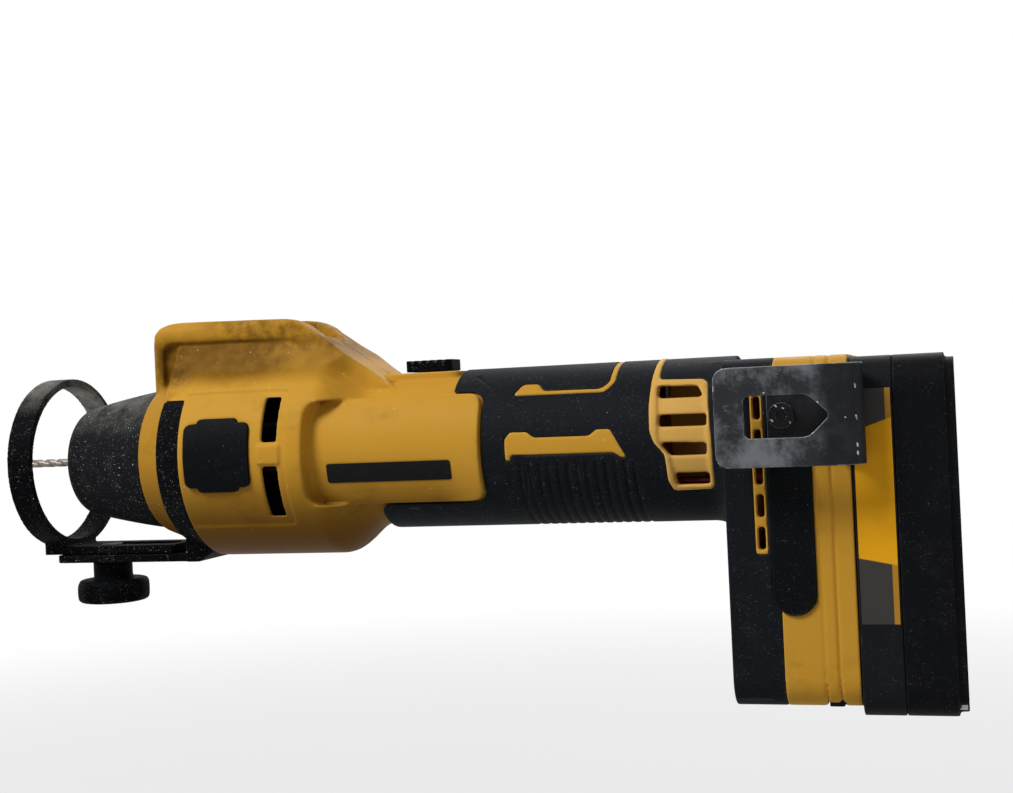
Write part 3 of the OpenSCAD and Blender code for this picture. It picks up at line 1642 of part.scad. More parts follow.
module pack_labels() {
  y1 = label_sink - foot_w / 2 - seat_gap;
  color("gold") both_sides()
    block([case_x + 0.8 + seat_gap, label_x1], [y1 - label_t, y1], [label_z0, label_z1]);
}
module pack_screws() {
  x1 = pack_end_x - pack_head_depth + seat_gap;
  color("silver") {
    for (y = [-pack_screw_y, pack_screw_y], z = [pack_screw_z0, pack_screw_z1]) {
      translate([0, y, z]) difference() {
        union() {
          rod(case_x + pack_wall + 4, x1 + over, screw_r);
          rod(x1, x1 + screw_head_h, screw_head_r);
        }
        along(x1 + screw_head_h / 2, x1 + 2 * screw_head_h) circle(1.5, $fn = 6);
      }
    }
  }
}
module gauge_lights() {
  color("lime") {
    for (i = [0:light_count - 1]) {
      pin_z(
        gauge_x,
        -gauge_y - (i - 1) * light_pitch,
        pack_z0 + 0.1,
        pack_z0 + pack_wall + over,
        light_r
      );
    }
  }
}
module gauge_button() {
  z1 = pack_z0 + pack_wall + slide_gap;
  color("gray") {
    pin_z(gauge_x, gauge_y, pack_z0 + 0.2, z1 + over, gauge_r);
    pin_z(gauge_x, gauge_y, z1, z1 + over, gauge_r + gauge_flange);
  }
}

// Sprung latch that hooks into the foot, with its press button at the pack's lower end
module pack_latch() {
  tooth_x = foot_floor_x + floor_t / 2 + 0.6 - tooth_grip;
  press_z1 = pack_z0 + pack_wall - slide_gap;
  step_z = pack_z0 + 3 + 2 * slide_gap + pack_wall;
  color("black") {
    block([tooth_x, latch_x1], [-latch_half, latch_half], [tooth_z0, tooth_z1]);
    block([latch_x1 - 5, latch_x1], [-latch_half, latch_half], [step_z, tooth_z1]);
    block([latch_x1 - 2, latch_toe_x1], [-latch_half, latch_half], [press_z1 - 0.5, latch_toe_z1]);
    difference() {
      block([latch_x1 - 2, press_x1], [-press_half, press_half], [pack_z0 - press_lift, press_z1]);
      for (x = [latch_x1 + 3:4:press_x1 - 2]) {
        block(
          [x, x + 2],
          [-press_half + 3, press_half - 3],
          [pack_z0 - press_lift - over, pack_z0 - press_lift / 2]
        );
      }
    }
  }
}
module latch_spring() {
  z = (latch_toe_z1 + pack_z0 + pack_wall + 0.6) / 2;
  color("silver") translate([0, 0, z])
    tube(latch_toe_x1, latch_toe_x1 + spring_len, spring_r, spring_r - 0.6);
}

housing_left();
housing_right();
grip_left();
grip_right();
side_pads();
label_plates();
nose_boot();
guide_bracket();
bearing_carrier();
front_outer_race();
front_balls();
rear_outer_race();
rear_balls();
stator_core();
stator_coils();
sensor_board();
switch_body();
controller_tray();
controller_board();
motor_leads();
terminal_block();
terminal_blades();
foot_bumpers();
belt_hook();
hook_screw();
housing_screws();
lever_pin();
led_board();
led_lens();
spindle();
rotor_core();
rotor_magnets();
cooling_fan();
collet();
collet_nut();
release_collar();
front_inner_race();
rear_inner_race();
cutting_bit();
switch_slider();
switch_link();
bit_lever();
release_yoke();
depth_guide();
guide_knob();
knob_screw();
pack_top_case();
pack_base_case();
pack_cells();
cell_holder();
pack_board();
pack_terminals();
pack_labels();
pack_screws();
gauge_lights();
pack_latch();
latch_spring();
gauge_button();
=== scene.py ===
# %% [markdown]
# # A cordless drywall cut-out tool
# The CAD model gives every piece its size and its place. This lesson keeps that frame,
# and gives the moulded pieces soft edges, the bit its flutes, and each piece a worn finish.

# %% Load the CAD frame
import json
import math

import bmesh
import bpy
from mathutils import Matrix, Vector

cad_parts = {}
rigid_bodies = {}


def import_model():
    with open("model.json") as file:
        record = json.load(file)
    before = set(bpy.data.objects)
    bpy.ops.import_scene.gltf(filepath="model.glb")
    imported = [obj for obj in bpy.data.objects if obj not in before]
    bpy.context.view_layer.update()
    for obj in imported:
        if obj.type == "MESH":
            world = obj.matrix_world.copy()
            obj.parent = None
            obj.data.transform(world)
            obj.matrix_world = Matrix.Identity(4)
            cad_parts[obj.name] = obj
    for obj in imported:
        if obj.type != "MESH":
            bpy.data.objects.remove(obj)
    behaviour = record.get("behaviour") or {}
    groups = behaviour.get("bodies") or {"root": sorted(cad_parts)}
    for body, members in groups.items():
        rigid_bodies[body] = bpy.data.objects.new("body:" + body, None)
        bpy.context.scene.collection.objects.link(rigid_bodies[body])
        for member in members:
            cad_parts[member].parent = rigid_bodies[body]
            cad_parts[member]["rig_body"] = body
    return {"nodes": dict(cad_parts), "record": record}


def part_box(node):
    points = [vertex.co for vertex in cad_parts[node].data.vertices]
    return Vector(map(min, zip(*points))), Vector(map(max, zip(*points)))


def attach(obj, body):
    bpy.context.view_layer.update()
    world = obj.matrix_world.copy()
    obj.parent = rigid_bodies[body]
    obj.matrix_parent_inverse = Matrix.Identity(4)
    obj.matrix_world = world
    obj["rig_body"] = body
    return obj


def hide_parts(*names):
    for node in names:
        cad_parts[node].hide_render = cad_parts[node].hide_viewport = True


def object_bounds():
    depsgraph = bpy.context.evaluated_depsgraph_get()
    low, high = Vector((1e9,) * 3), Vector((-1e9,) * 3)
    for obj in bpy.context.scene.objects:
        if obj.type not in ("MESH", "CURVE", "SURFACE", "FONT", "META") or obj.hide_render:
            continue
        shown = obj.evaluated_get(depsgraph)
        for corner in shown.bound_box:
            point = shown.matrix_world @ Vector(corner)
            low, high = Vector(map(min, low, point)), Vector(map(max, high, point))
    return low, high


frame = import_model()
cad_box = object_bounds()
MM, MM_PER_M = 0.001, 1000.0
slot_of = {row["node"]: row["material_slot"] for row in frame["record"]["subparts"]}
print("nodes", len(frame["nodes"]), "box", [tuple(round(v, 4) for v in p) for p in cad_box])

# %% [markdown]
# ## The camera
# The photograph was taken close to the tool's left side, a little behind its middle. The
# camera's place and roll were worked out from points of known size, so they are set as
# numbers, and the lens follows from the focal length in pixels.

# %% Camera
FOCAL_PX, FRAME_PX = 1500.0, 1013.0
SENSOR_MM = 36.0
CAMERA_PLACE_MM = (347.8, -530.0, 18.3)
TURN, ROLL = math.radians(16.5), math.radians(2.7)

camera_data = bpy.data.cameras.new("camera")
camera_data.sensor_width = SENSOR_MM
camera_data.lens = SENSOR_MM * FOCAL_PX / FRAME_PX
camera_data.clip_start, camera_data.clip_end = 0.01, 50.0
camera = bpy.data.objects.new("camera", camera_data)
bpy.context.scene.collection.objects.link(camera)

ahead = Vector((-math.sin(TURN), math.cos(TURN), 0))
side = Vector((math.cos(TURN), math.sin(TURN), 0))
upright = Vector((0, 0, 1))
right = math.cos(ROLL) * side - math.sin(ROLL) * upright
up = math.sin(ROLL) * side + math.cos(ROLL) * upright
turn = Matrix((right, up, -ahead)).transposed()
camera.matrix_world = Matrix.Translation(Vector(CAMERA_PLACE_MM) * MM) @ turn.to_4x4()
bpy.context.scene.camera = camera
print("lens", round(camera_data.lens, 2), "mm")

# %% [markdown]
# ## Shader maths in Python
# A material is a graph of nodes, which is slow to read. This small class wraps an output
# socket and overloads the operators, so that a mask such as `dust * (1 - shade)` is written
# as it is said, and each operator adds one Math node.

# %% Sockets that add and multiply
class Signal:
    def __init__(self, finish, socket):
        self.finish, self.socket = finish, socket

    def _math(self, operation, first, second):
        return self.finish.node("ShaderNodeMath", {"operation": operation, "use_clamp": False},
                                {0: first, 1: second})

    def __add__(self, other):
        return self._math("ADD", self, other)

    def __radd__(self, other):
        return self._math("ADD", other, self)

    def __sub__(self, other):
        return self._math("SUBTRACT", self, other)

    def __rsub__(self, other):
        return self._math("SUBTRACT", other, self)

    def __mul__(self, other):
        return self._math("MULTIPLY", self, other)

    def __rmul__(self, other):
        return self._math("MULTIPLY", other, self)

    def most(self, other):
        return self._math("MAXIMUM", self, other)

    def step(self, low, high, start=0.0, end=1.0):
        """Goes softly from start to end as the value goes from low to high."""
        return self.finish.node(
            "ShaderNodeMapRange", {"interpolation_type": "SMOOTHSTEP", "clamp": True},
            {"Value": self, "From Min": low, "From Max": high, "To Min": start, "To Max": end})


print("operators", [n for n in Signal.__dict__ if n.startswith("__") and n != "__init__"])

# %% [markdown]
# ## One class for every finish
# Every finish reads Object coordinates, so its pattern stays on the piece when a joint moves.
# Noise and specks are asked for by their size in millimetres, and so are the boxes that keep
# dirt, dust and painted shade in one place.

# %% Finish
class Finish:
    def __init__(self, name, **constants):
        self.material = bpy.data.materials.new(name)
        self.material.use_nodes = True
        self.tree = self.material.node_tree
        self.shader = self.tree.nodes["Principled BSDF"]
        for socket, value in constants.items():
            self.shader.inputs[socket.replace("_", " ")].default_value = value
        self.place = self.node("ShaderNodeTexCoord", out="Object")

    def find(self, sockets, key):
        if isinstance(key, int):
            return sockets[key]
        return next((s for s in sockets if s.identifier == key), None) or sockets[key]

    def plug(self, socket, value):
        if isinstance(value, Signal):
            self.tree.links.new(value.socket, socket)
        else:
            socket.default_value = value

    def node(self, kind, settings=None, values=None, out=0):
        made = self.tree.nodes.new(kind)
        for key, value in (settings or {}).items():
            setattr(made, key, value)
        for key, value in (values or {}).items():
            self.plug(self.find(made.inputs, key), value)
        return Signal(self, self.find(made.outputs, out))

    def noise(self, size_mm, detail=3.0, rough=0.55, place=None):
        return self.node("ShaderNodeTexNoise", None, {
            "Vector": place or self.place, "Scale": MM_PER_M / size_mm, "Detail": detail,
            "Roughness": rough})

    def axis(self, letter):
        return self.node("ShaderNodeSeparateXYZ", None, {0: self.place}, letter)

    def along(self, letter):
        """The place along one axis, in millimetres."""
        return self.axis(letter) * MM_PER_M

    def stretched(self, scale, turn=(0, 0, 0)):
        return self.node("ShaderNodeMapping", None, {
            "Vector": self.place, "Scale": scale, "Rotation": turn})

    def specks(self, pitch_mm, size, share, place=None):
        """Small spots, one in some of the cells of a Voronoi pattern."""
        values = {"Vector": place or self.place, "Scale": MM_PER_M / pitch_mm}
        spot = self.node("ShaderNodeTexVoronoi", None, values, "Distance")
        pick = self.node("ShaderNodeSeparateColor", None, {
            0: self.node("ShaderNodeTexVoronoi", None, values, "Color")}, 0)
        return spot.step(size * 0.5, size, 1.0, 0.0) * pick.step(1 - share, 1 - share * 0.7)

    def blend(self, mask, first, second):
        return self.node("ShaderNodeMix", {"data_type": "RGBA"}, {
            "Factor_Float": mask,
            "A_Color": first if isinstance(first, Signal) else (*first, 1.0),
            "B_Color": second if isinstance(second, Signal) else (*second, 1.0)}, "Result_Color")

    def edges(self, low, high):
        """How sharply the surface turns: outwards above 0.5, and into a hollow below it."""
        return self.node("ShaderNodeNewGeometry", out="Pointiness").step(low, high)

    def box(self, x, y, z, soft):
        """A soft-edged box in millimetres, for dirt, dust and painted shade that sit in one
        place.
        """
        mask = 1.0
        for letter, (low, high) in zip("XYZ", (x, y, z)):
            value = self.along(letter)
            past_low = value.step(low - soft, low + soft)
            before_high = value.step(high - soft, high + soft, 1.0, 0.0)
            mask = past_low * before_high * mask
        return mask

    def relief(self, height, depth_mm, strength=1.0):
        self.feed(Normal=self.node("ShaderNodeBump", None, {
            "Strength": strength, "Distance": depth_mm * MM, "Height": height}))

    def feed(self, **signals):
        for socket, value in signals.items():
            self.plug(self.shader.inputs[socket.replace("_", " ")], value)


print("finish methods", [n for n in Finish.__dict__ if not n.startswith("_")])

# %% [markdown]
# ## The worn yellow plastic
# The housing is moulded nylon with a fine spark texture. Its hollows are darker, most of all
# the recess beside the hump, where handling has left a brown film, and handling has rubbed
# its edges paler. The barrel's underside is painted darker towards the bottom: painted shade.
# Each kind of dirt, and the painted shade, is a mask and a darker colour. The mask is a box on
# the housing, in millimetres along, across and up, broken up by noise. The roughness follows
# the dirt, because dirty plastic is duller.

# %% Yellow plastic
HUMP_SIDES, ALL_ACROSS = (-40, 40), (-60, 60)
HUMP_RECESS = ((55, 137), HUMP_SIDES, (29, 45.5))
HUMP_RIM = ((52, 150), HUMP_SIDES, (44, 56))
HUMP_CORNER = ((54, 72), HUMP_SIDES, (27, 46))
HUMP_SOOT = ((80, 132), HUMP_SIDES, (33, 58))
FRONT_CUFF = ((52, 64), ALL_ACROSS, (-40, 36))
# The box and the colour for painted shade on the barrel's underside.
BARREL_UNDERSIDE_SHADE = ((50, 178), ALL_ACROSS, (-60, 8))
REAR_VENTS = ((248, 274), ALL_ACROSS, (-45, 40))
YELLOW, LIGHT_YELLOW = (0.53, 0.265, 0.024), (0.60, 0.316, 0.040)
RUBBED_EDGE, BROWN_FILM = (0.72, 0.45, 0.12), (0.135, 0.057, 0.002)
PAINTED_UNDERSIDE_SHADE, GRIME = (0.078, 0.028, 0.0006), (0.070, 0.034, 0.005)
PALE_VENTS, PLASTER_SPECK = (0.92, 0.60, 0.22), (0.80, 0.70, 0.50)


def make_yellow(name):
    f = Finish(name, Specular_IOR_Level=0.045)
    x, z = f.along("X"), f.along("Z")
    streak = f.noise(9.0, 6.0, 0.65, f.stretched((0.35, 1.0, 1.0)))
    blotch = f.noise(22.0, 5.0, 0.6)
    smudge = f.noise(5.0, 6.0, 0.7)

    wash = f.box(*HUMP_RECESS, 3.5) * x.step(88.0, 116.0, 1.0, 0.6)
    rim = f.box(*HUMP_RIM, 3.0) * blotch.step(0.30, 0.70, 0.08, 0.42)
    cuff = f.box(*FRONT_CUFF, 1.0) * 0.30
    film = (wash * blotch.step(0.25, 0.70, 0.70, 1.0)).most(rim).most(cuff)
    # Painted shade: darker towards the bottom of the barrel, as the shade beneath it.
    painted_underside_shade = z.step(4.0, -34.0) * f.box(*BARREL_UNDERSIDE_SHADE, 8.0)

    corner = f.box(*HUMP_CORNER, 4.0) * smudge.step(0.34, 0.62)
    soot = f.box(*HUMP_SOOT, 6.0) * smudge.step(0.36, 0.64) * blotch.step(0.30, 0.58)
    barrel = blotch.step(0.50, 0.75) * streak.step(0.42, 0.62) * 0.35
    hollow = f.edges(0.485, 0.44) * 0.6
    dirt = (corner * 0.6).most(soot * 0.6).most(barrel).most(hollow)

    colour = f.blend(f.noise(34.0, 3.0), YELLOW, LIGHT_YELLOW)
    colour = f.blend(f.edges(0.515, 0.56) * 0.5, colour, RUBBED_EDGE)
    colour = f.blend(film, colour, BROWN_FILM)
    # Painted shade on the barrel's underside.
    colour = f.blend(painted_underside_shade * 0.9, colour, PAINTED_UNDERSIDE_SHADE)
    colour = f.blend(dirt, colour, GRIME)
    colour = f.blend(f.box(*REAR_VENTS, 2.0) * 0.32, colour, PALE_VENTS)
    colour = f.blend(f.specks(3.2, 0.10, 0.16) * 0.55, colour, PLASTER_SPECK)
    f.feed(Base_Color=colour, Roughness=0.42 + 0.12 * f.noise(6.0, 4.0) + dirt * 0.2)
    f.relief(f.noise(0.55, 2.0), 0.05, 0.5)
    return f.material


finishes = {"yellow_plastic": make_yellow("worn_yellow_plastic")}
print("made", finishes["yellow_plastic"].name)

# %% [markdown]
# ## Rubber and black plastic
# The grip, the pads, the nose boot and the depth guide are all black, but they differ: the
# boot and the guide sit in the dust of the cut, so pale specks and powder lie on them, and
# the grip has a fine leather-like texture. The powder on the tops of the boot and the guide's
# ring is partly a painted sheen of the light from above, and the grip's pale specks and
# rubbed edges are partly painted glints on its ribs. One function makes them, with the
# differences as arguments.

# %% Black mouldings
WORN_EDGE_AND_GLINT, GREY_FILM = (0.060, 0.063, 0.068), (0.10, 0.10, 0.10)
# The powder colour is also a painted sheen on the tops of the boot and the ring.
DUST_AND_GLINT, POWDER_AND_SHEEN = (0.62, 0.61, 0.57), (0.62, 0.60, 0.54)


def make_black(name, colour, rough, grain_mm, depth_mm, dust, film, wear=0.25, powder=(),
               gloss=0.045):
    f = Finish(name, Specular_IOR_Level=gloss)
    smear = f.noise(7.0, 6.0, 0.7)
    base = f.blend(f.noise(14.0, 4.0), tuple(0.7 * c for c in colour), colour)
    # On the grip these rubbed edges also stand in for painted glints.
    base = f.blend(f.edges(0.515, 0.57) * wear, base, WORN_EDGE_AND_GLINT)
    base = f.blend(smear.step(0.48, 0.8) * film, base, GREY_FILM)
    # Powder in boxes; on the tops of the boot and the guide's ring it is also a painted sheen of
    # the light from above.
    for *box, radius, share in powder:
        y, z = f.along("Y"), f.along("Z")
        inside = (y * y + z * z).step(radius ** 2, (radius + 1.0) ** 2, 1.0, 0.0)
        dust_and_sheen = f.box(*box, 9.0) * smear.step(0.25, 0.65) * inside * share
        base = f.blend(dust_and_sheen, base, POWDER_AND_SHEEN)
    fine = f.specks(0.50, 0.26, 0.30) * 0.7
    grit = f.specks(0.95, 0.20, 0.34)
    crumb = f.specks(3.4, 0.09, 0.40)
    fibre = f.specks(1.6, 0.11, 0.30, f.stretched((0.22, 1.0, 1.0), (0.5, 0.7, 0.3))) * 0.55
    spots = (fine.most(grit).most(fibre) * smear.step(0.30, 0.62)).most(crumb)
    # On the grip these pale specks also stand in for painted glints.
    base = f.blend(spots * dust, base, DUST_AND_GLINT)
    f.feed(Base_Color=base, Roughness=rough + 0.14 * smear)
    f.relief(f.noise(grain_mm, 2.0) + 0.5 * f.noise(grain_mm * 3, 2.0), depth_mm, 0.8)
    return f.material


# Powder, partly a painted sheen from above: a box, the distance from the spindle's axis
# that it stays within, and its share.
RING_POWDER_AND_TOP_LIGHT = [
    # The ring's top: dust, and also painted light from above.
    ((-60, 12), (-40, 40), (27, 60), 60, 0.35),
    ((-60, 12), (8, 60), (-2, 60), 31.2, 0.9),
]
# The boot's top: dust, and also a painted sheen of the light from above.
BOOT_TOP_POWDER_AND_SHEEN = [((8, 54), (-40, 40), (17, 40), 60, 0.20)]
# Name, colour, roughness, the grain's size and depth, dust, film, and what else differs.
BLACKS = [
    # The grip's dust and wear are set high: real dust and wear, and also painted glints on its
    # ribs.
    ("grip_rubber", (0.0080, 0.0096, 0.0125), 0.55, 0.8, 0.10, 0.20, 0.07, {"wear": 0.4}),
    ("pad_rubber", (0.0030, 0.0036, 0.0044), 0.48, 0.7, 0.04, 0.12, 0.04, {}),
    ("boot_rubber", (0.0085, 0.0092, 0.0110), 0.62, 0.9, 0.14, 0.9, 0.20,
     {"powder": BOOT_TOP_POWDER_AND_SHEEN}),
    ("black_plastic", (0.0022, 0.0026, 0.0032), 0.5, 0.8, 0.06, 0.35, 0.06, {"gloss": 0.02}),
    ("guide_plastic", (0.0022, 0.0026, 0.0033), 0.5, 0.8, 0.06, 0.7, 0.08,
     {"powder": RING_POWDER_AND_TOP_LIGHT, "gloss": 0.02}),
    ("pack_black", (0.0045, 0.0050, 0.0060), 0.5, 0.8, 0.06, 0.12, 0.06, {}),
    ("pack_grey", (0.0110, 0.0120, 0.0140), 0.52, 0.8, 0.06, 0.12, 0.06, {}),
    ("label_black", (0.0040, 0.0040, 0.0045), 0.36, 1.5, 0.01, 0.06, 0.03, {"wear": 0.1}),
]
for name, *values, extra in BLACKS:
    finishes[name] = make_black(name, *values, **extra)
print("finishes so far", len(finishes))

# %% [markdown]
# ## Metals
# Steel, cast alloy, copper and brass share one recipe: full metal, a colour that varies a
# little, and a roughness drawn out along the lathe's or the brush's direction. The hook is
# steel too, but powder coated, so its coat is plastic and only the edges show metal. The coat
# is painted darkest on the hook's bend and on its inner leg: painted shade, where the hook's
# shadow falls.

# %% Metals
HOOK_BEND_SHADE_X, INNER_LEG_SHADE_Y = (304.0, 312.0), (-49.0, -46.0)


def make_metal(name, colour, rough, brushed=(1.0, 1.0, 1.0), spread=0.16):
    f = Finish(name, Metallic=1.0)
    lines = f.noise(1.2, 4.0, 0.6, f.stretched(brushed))
    cloud = f.noise(11.0, 4.0)
    f.feed(Base_Color=f.blend(cloud, tuple(0.8 * c for c in colour), colour),
           Roughness=rough + spread * (lines - 0.5) + 0.1 * (cloud - 0.5))
    f.relief(lines, 0.015, 0.4)
    return f.material


def make_coated_steel(name):
    f = Finish(name, Specular_IOR_Level=0.12)
    smear = f.noise(15.0, 7.0, 0.68)
    scuff = f.noise(2.2, 6.0, 0.7, f.stretched((0.6, 1.0, 1.0), (0, 0.5, 0)))
    bare = f.edges(0.520, 0.57) * f.noise(2.5, 4.0).step(0.30, 0.48)
    coat = f.blend(smear.step(0.38, 0.62), (0.022, 0.024, 0.028), (0.160, 0.168, 0.184))
    coat = f.blend(scuff.step(0.56, 0.78) * 0.5, coat, (0.24, 0.245, 0.25))
    # Painted shade: the coat is darkened on the hook's bend.
    coat = f.blend(f.along("X").step(*HOOK_BEND_SHADE_X) * 0.9, coat, (0.006, 0.007, 0.009))
    coat = f.blend(f.specks(4.0, 0.09, 0.28), coat, (0.65, 0.65, 0.65))
    # Painted shade: the inner leg is darkened, as the shadow behind the hook's window.
    coat = f.blend(f.along("Y").step(*INNER_LEG_SHADE_Y) * 0.88, coat, (0.004, 0.004, 0.005))
    f.feed(Base_Color=f.blend(bare, coat, (0.45, 0.46, 0.48)), Metallic=bare * 0.9,
           Roughness=0.34 + 0.22 * smear)
    f.relief(f.noise(0.7, 2.0), 0.03, 0.6)
    return f.material


# Each metal's name, colour and roughness, and how its brushing is drawn out.
METALS = {
    "bright_steel": ("bright_steel", (0.36, 0.365, 0.375), 0.32, (0.1, 1, 1)),
    "bit_steel": ("dull_bit_steel", (0.25, 0.22, 0.19), 0.45, (0.1, 1, 1)),
    "blackened_steel": ("blackened_steel", (0.022, 0.022, 0.024), 0.55),
    "lamination_steel": ("lamination_steel", (0.30, 0.31, 0.33), 0.42, (3.0, 0.2, 0.2)),
    "cast_alloy": ("cast_alloy", (0.44, 0.45, 0.465), 0.46),
    "copper_wire": ("copper_wire", (0.62, 0.27, 0.12), 0.30, (0.2, 1.5, 1.5)),
    "contact_brass": ("contact_brass", (0.74, 0.52, 0.24), 0.26, (1, 1, 0.2)),
    "magnet": ("magnet_plating", (0.42, 0.42, 0.44), 0.24),
    "cell_metal": ("cell_sleeve", (0.16, 0.32, 0.36), 0.38),
}
finishes["black_steel"] = make_coated_steel("powder_coated_steel")
for metal, values in METALS.items():
    finishes[metal] = make_metal(*values)
print("finishes so far", len(finishes))

# %% [markdown]
# ## Boards, leads, lens and labels
# The last finishes are small: a solder-masked board, coloured insulation, a clear lens, pale
# holder plastic and the pack's bare label. The label keeps the colours of such a label, amber
# with slanted grey ends, and carries no text.

# %% Small finishes
LABEL_FRONT_X, LABEL_STRIPE_X = 317.0, (327.2, 327.5)
AMBER, LIGHT_AMBER = (0.78, 0.35, 0.006), (0.88, 0.42, 0.012)
LABEL_GREY = (0.045, 0.042, 0.038)


def make_plain(name, colour, other, rough, size_mm, **constants):
    f = Finish(name, **constants)
    cloud = f.noise(size_mm, 4.0)
    f.feed(Base_Color=f.blend(cloud.step(0.35, 0.65), colour, other),
           Roughness=rough + 0.1 * cloud)
    f.relief(f.noise(0.8, 2.0), 0.02, 0.4)
    return f.material


def make_pack_label(name):
    f = Finish(name, Specular_IOR_Level=0.12)
    x, z = f.along("X"), f.along("Z")
    back = x - LABEL_FRONT_X
    upper_end = (z - 0.35 * back).step(1.6, 2.0)
    lower_end = (z + 0.2 * back).step(-38.5, -39.0)
    grey = upper_end.most(lower_end) * (1 - x.step(*LABEL_STRIPE_X) * 0.5)
    wear = f.noise(5.0, 5.0)
    amber = f.blend(wear, AMBER, LIGHT_AMBER)
    f.feed(Base_Color=f.blend(grey, amber, LABEL_GREY), Roughness=0.36 + 0.15 * wear)
    f.relief(wear, 0.02, 0.3)
    return f.material


finishes.update({
    "board_green": make_plain(
        "solder_mask", (0.010, 0.085, 0.040), (0.016, 0.12, 0.055), 0.32, 4.0),
    "lead_insulation": make_plain(
        "lead_insulation", (0.30, 0.02, 0.02), (0.38, 0.03, 0.03), 0.42, 6.0),
    "clear_lens": make_plain(
        "clear_lens", (0.86, 0.89, 0.90), (0.92, 0.94, 0.95), 0.08, 9.0,
        Transmission_Weight=0.85, IOR=1.49),
    "holder_plastic": make_plain(
        "holder_plastic", (0.50, 0.50, 0.48), (0.58, 0.58, 0.56), 0.5, 12.0),
    "pack_label": make_pack_label("bare_pack_label"),
})
missing = sorted(set(slot_of.values()) - set(finishes))
print("finishes", len(finishes), "slots without one", missing)

# %% [markdown]
# ## Finishes on the CAD nodes
# A node whose CAD shape is already right keeps its mesh and only gets its finish. That holds
# for the motor, the bearings, the electronics and the cells, which are hidden inside. The
# screw that clamps the depth guide is steel like the others, but blackened.

# %% Dress the CAD nodes
BLACKENED = {"knob_screw"}
for node, obj in frame["nodes"].items():
    obj.data.materials.clear()
    look = "blackened_steel" if node in BLACKENED else slot_of[node]
    obj.data.materials.append(finishes[look])
print("dressed", len(frame["nodes"]), "nodes")

# %% [markdown]
# ## Soft edges on the mouldings
# Moulded plastic and rubber have no sharp edges, and bevelling a mesh that came from a chain
# of CAD cuts tears it. A voxel remesh is safer: the copy is rebuilt from small cubes, smoothed
# so that each corner rounds over by about a voxel, and thinned where it is flat. These helpers
# do the single steps.

# %% Helpers for meshes
def linked(name, data):
    """A new object in the scene, at the origin, with this mesh or lamp as its data."""
    obj = bpy.data.objects.new(name, data)
    bpy.context.scene.collection.objects.link(obj)
    return obj


def bake_modifiers(obj):
    """Puts the result of the object's modifiers in its mesh, and clears them."""
    scene_state = bpy.context.evaluated_depsgraph_get()
    obj.data = bpy.data.meshes.new_from_object(obj.evaluated_get(scene_state))
    obj.modifiers.clear()


def merged_copy(node):
    """A copy of the CAD node's loose triangles, joined at their corners."""
    mesh = frame["nodes"][node].data.copy()
    mesh.name = node + "_moulded"
    shape = bmesh.new()
    shape.from_mesh(mesh)
    bmesh.ops.remove_doubles(shape, verts=shape.verts, dist=0.001 * MM)
    shape.to_mesh(mesh)
    shape.free()
    return mesh


def melt(piece, box, passes):
    """Rounds over the edges inside a box in millimetres, where a moulding has wider fillets."""
    shape = bmesh.new()
    shape.from_mesh(piece.data)
    (x0, x1), (y0, y1), (z0, z1) = ((low * MM, high * MM) for low, high in box)
    inside = [v for v in shape.verts
              if x0 < v.co.x < x1 and y0 < abs(v.co.y) < y1 and z0 < v.co.z < z1]
    for _ in range(passes):
        bmesh.ops.smooth_vert(shape, verts=inside, factor=0.5, use_axis_x=True, use_axis_y=True,
                              use_axis_z=True)
    shape.to_mesh(piece.data)
    shape.free()


print("helpers", [h.__name__ for h in (linked, bake_modifiers, merged_copy, melt)])

# %% [markdown]
# ## The moulded copies
# Each row of the table is a node, the voxel's size in millimetres, the number of smoothing
# passes and the thousands of triangles to keep. The housing has wider fillets at the hump's
# foot and at the front of its badges. The switch's stem has them too, so that it clears the
# ends of its slot.

# %% Moulded copies
def moulded(node, voxel_mm, passes, thousands, fillets=()):
    piece = linked(node + "_moulded", merged_copy(node))
    rebuild = piece.modifiers.new("voxels", "REMESH")
    rebuild.mode, rebuild.voxel_size, rebuild.use_smooth_shade = "VOXEL", voxel_mm * MM, True
    soften = piece.modifiers.new("soften", "SMOOTH")
    soften.factor, soften.iterations = 0.5, passes
    bake_modifiers(piece)
    for box, rounds in fillets:
        melt(piece, box, rounds)
    full = 2 * len(piece.data.polygons)
    thin = piece.modifiers.new("thin", "DECIMATE")
    thin.ratio = min(1.0, thousands * 1000 / full)
    bake_modifiers(piece)
    for face in piece.data.polygons:
        face.use_smooth = True
    piece.data.materials.clear()
    piece.data.materials.append(finishes[slot_of[node]])
    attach(piece, frame["nodes"][node]["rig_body"])
    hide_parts(node)
    print(node, full, "->", len(piece.data.polygons), "triangles")


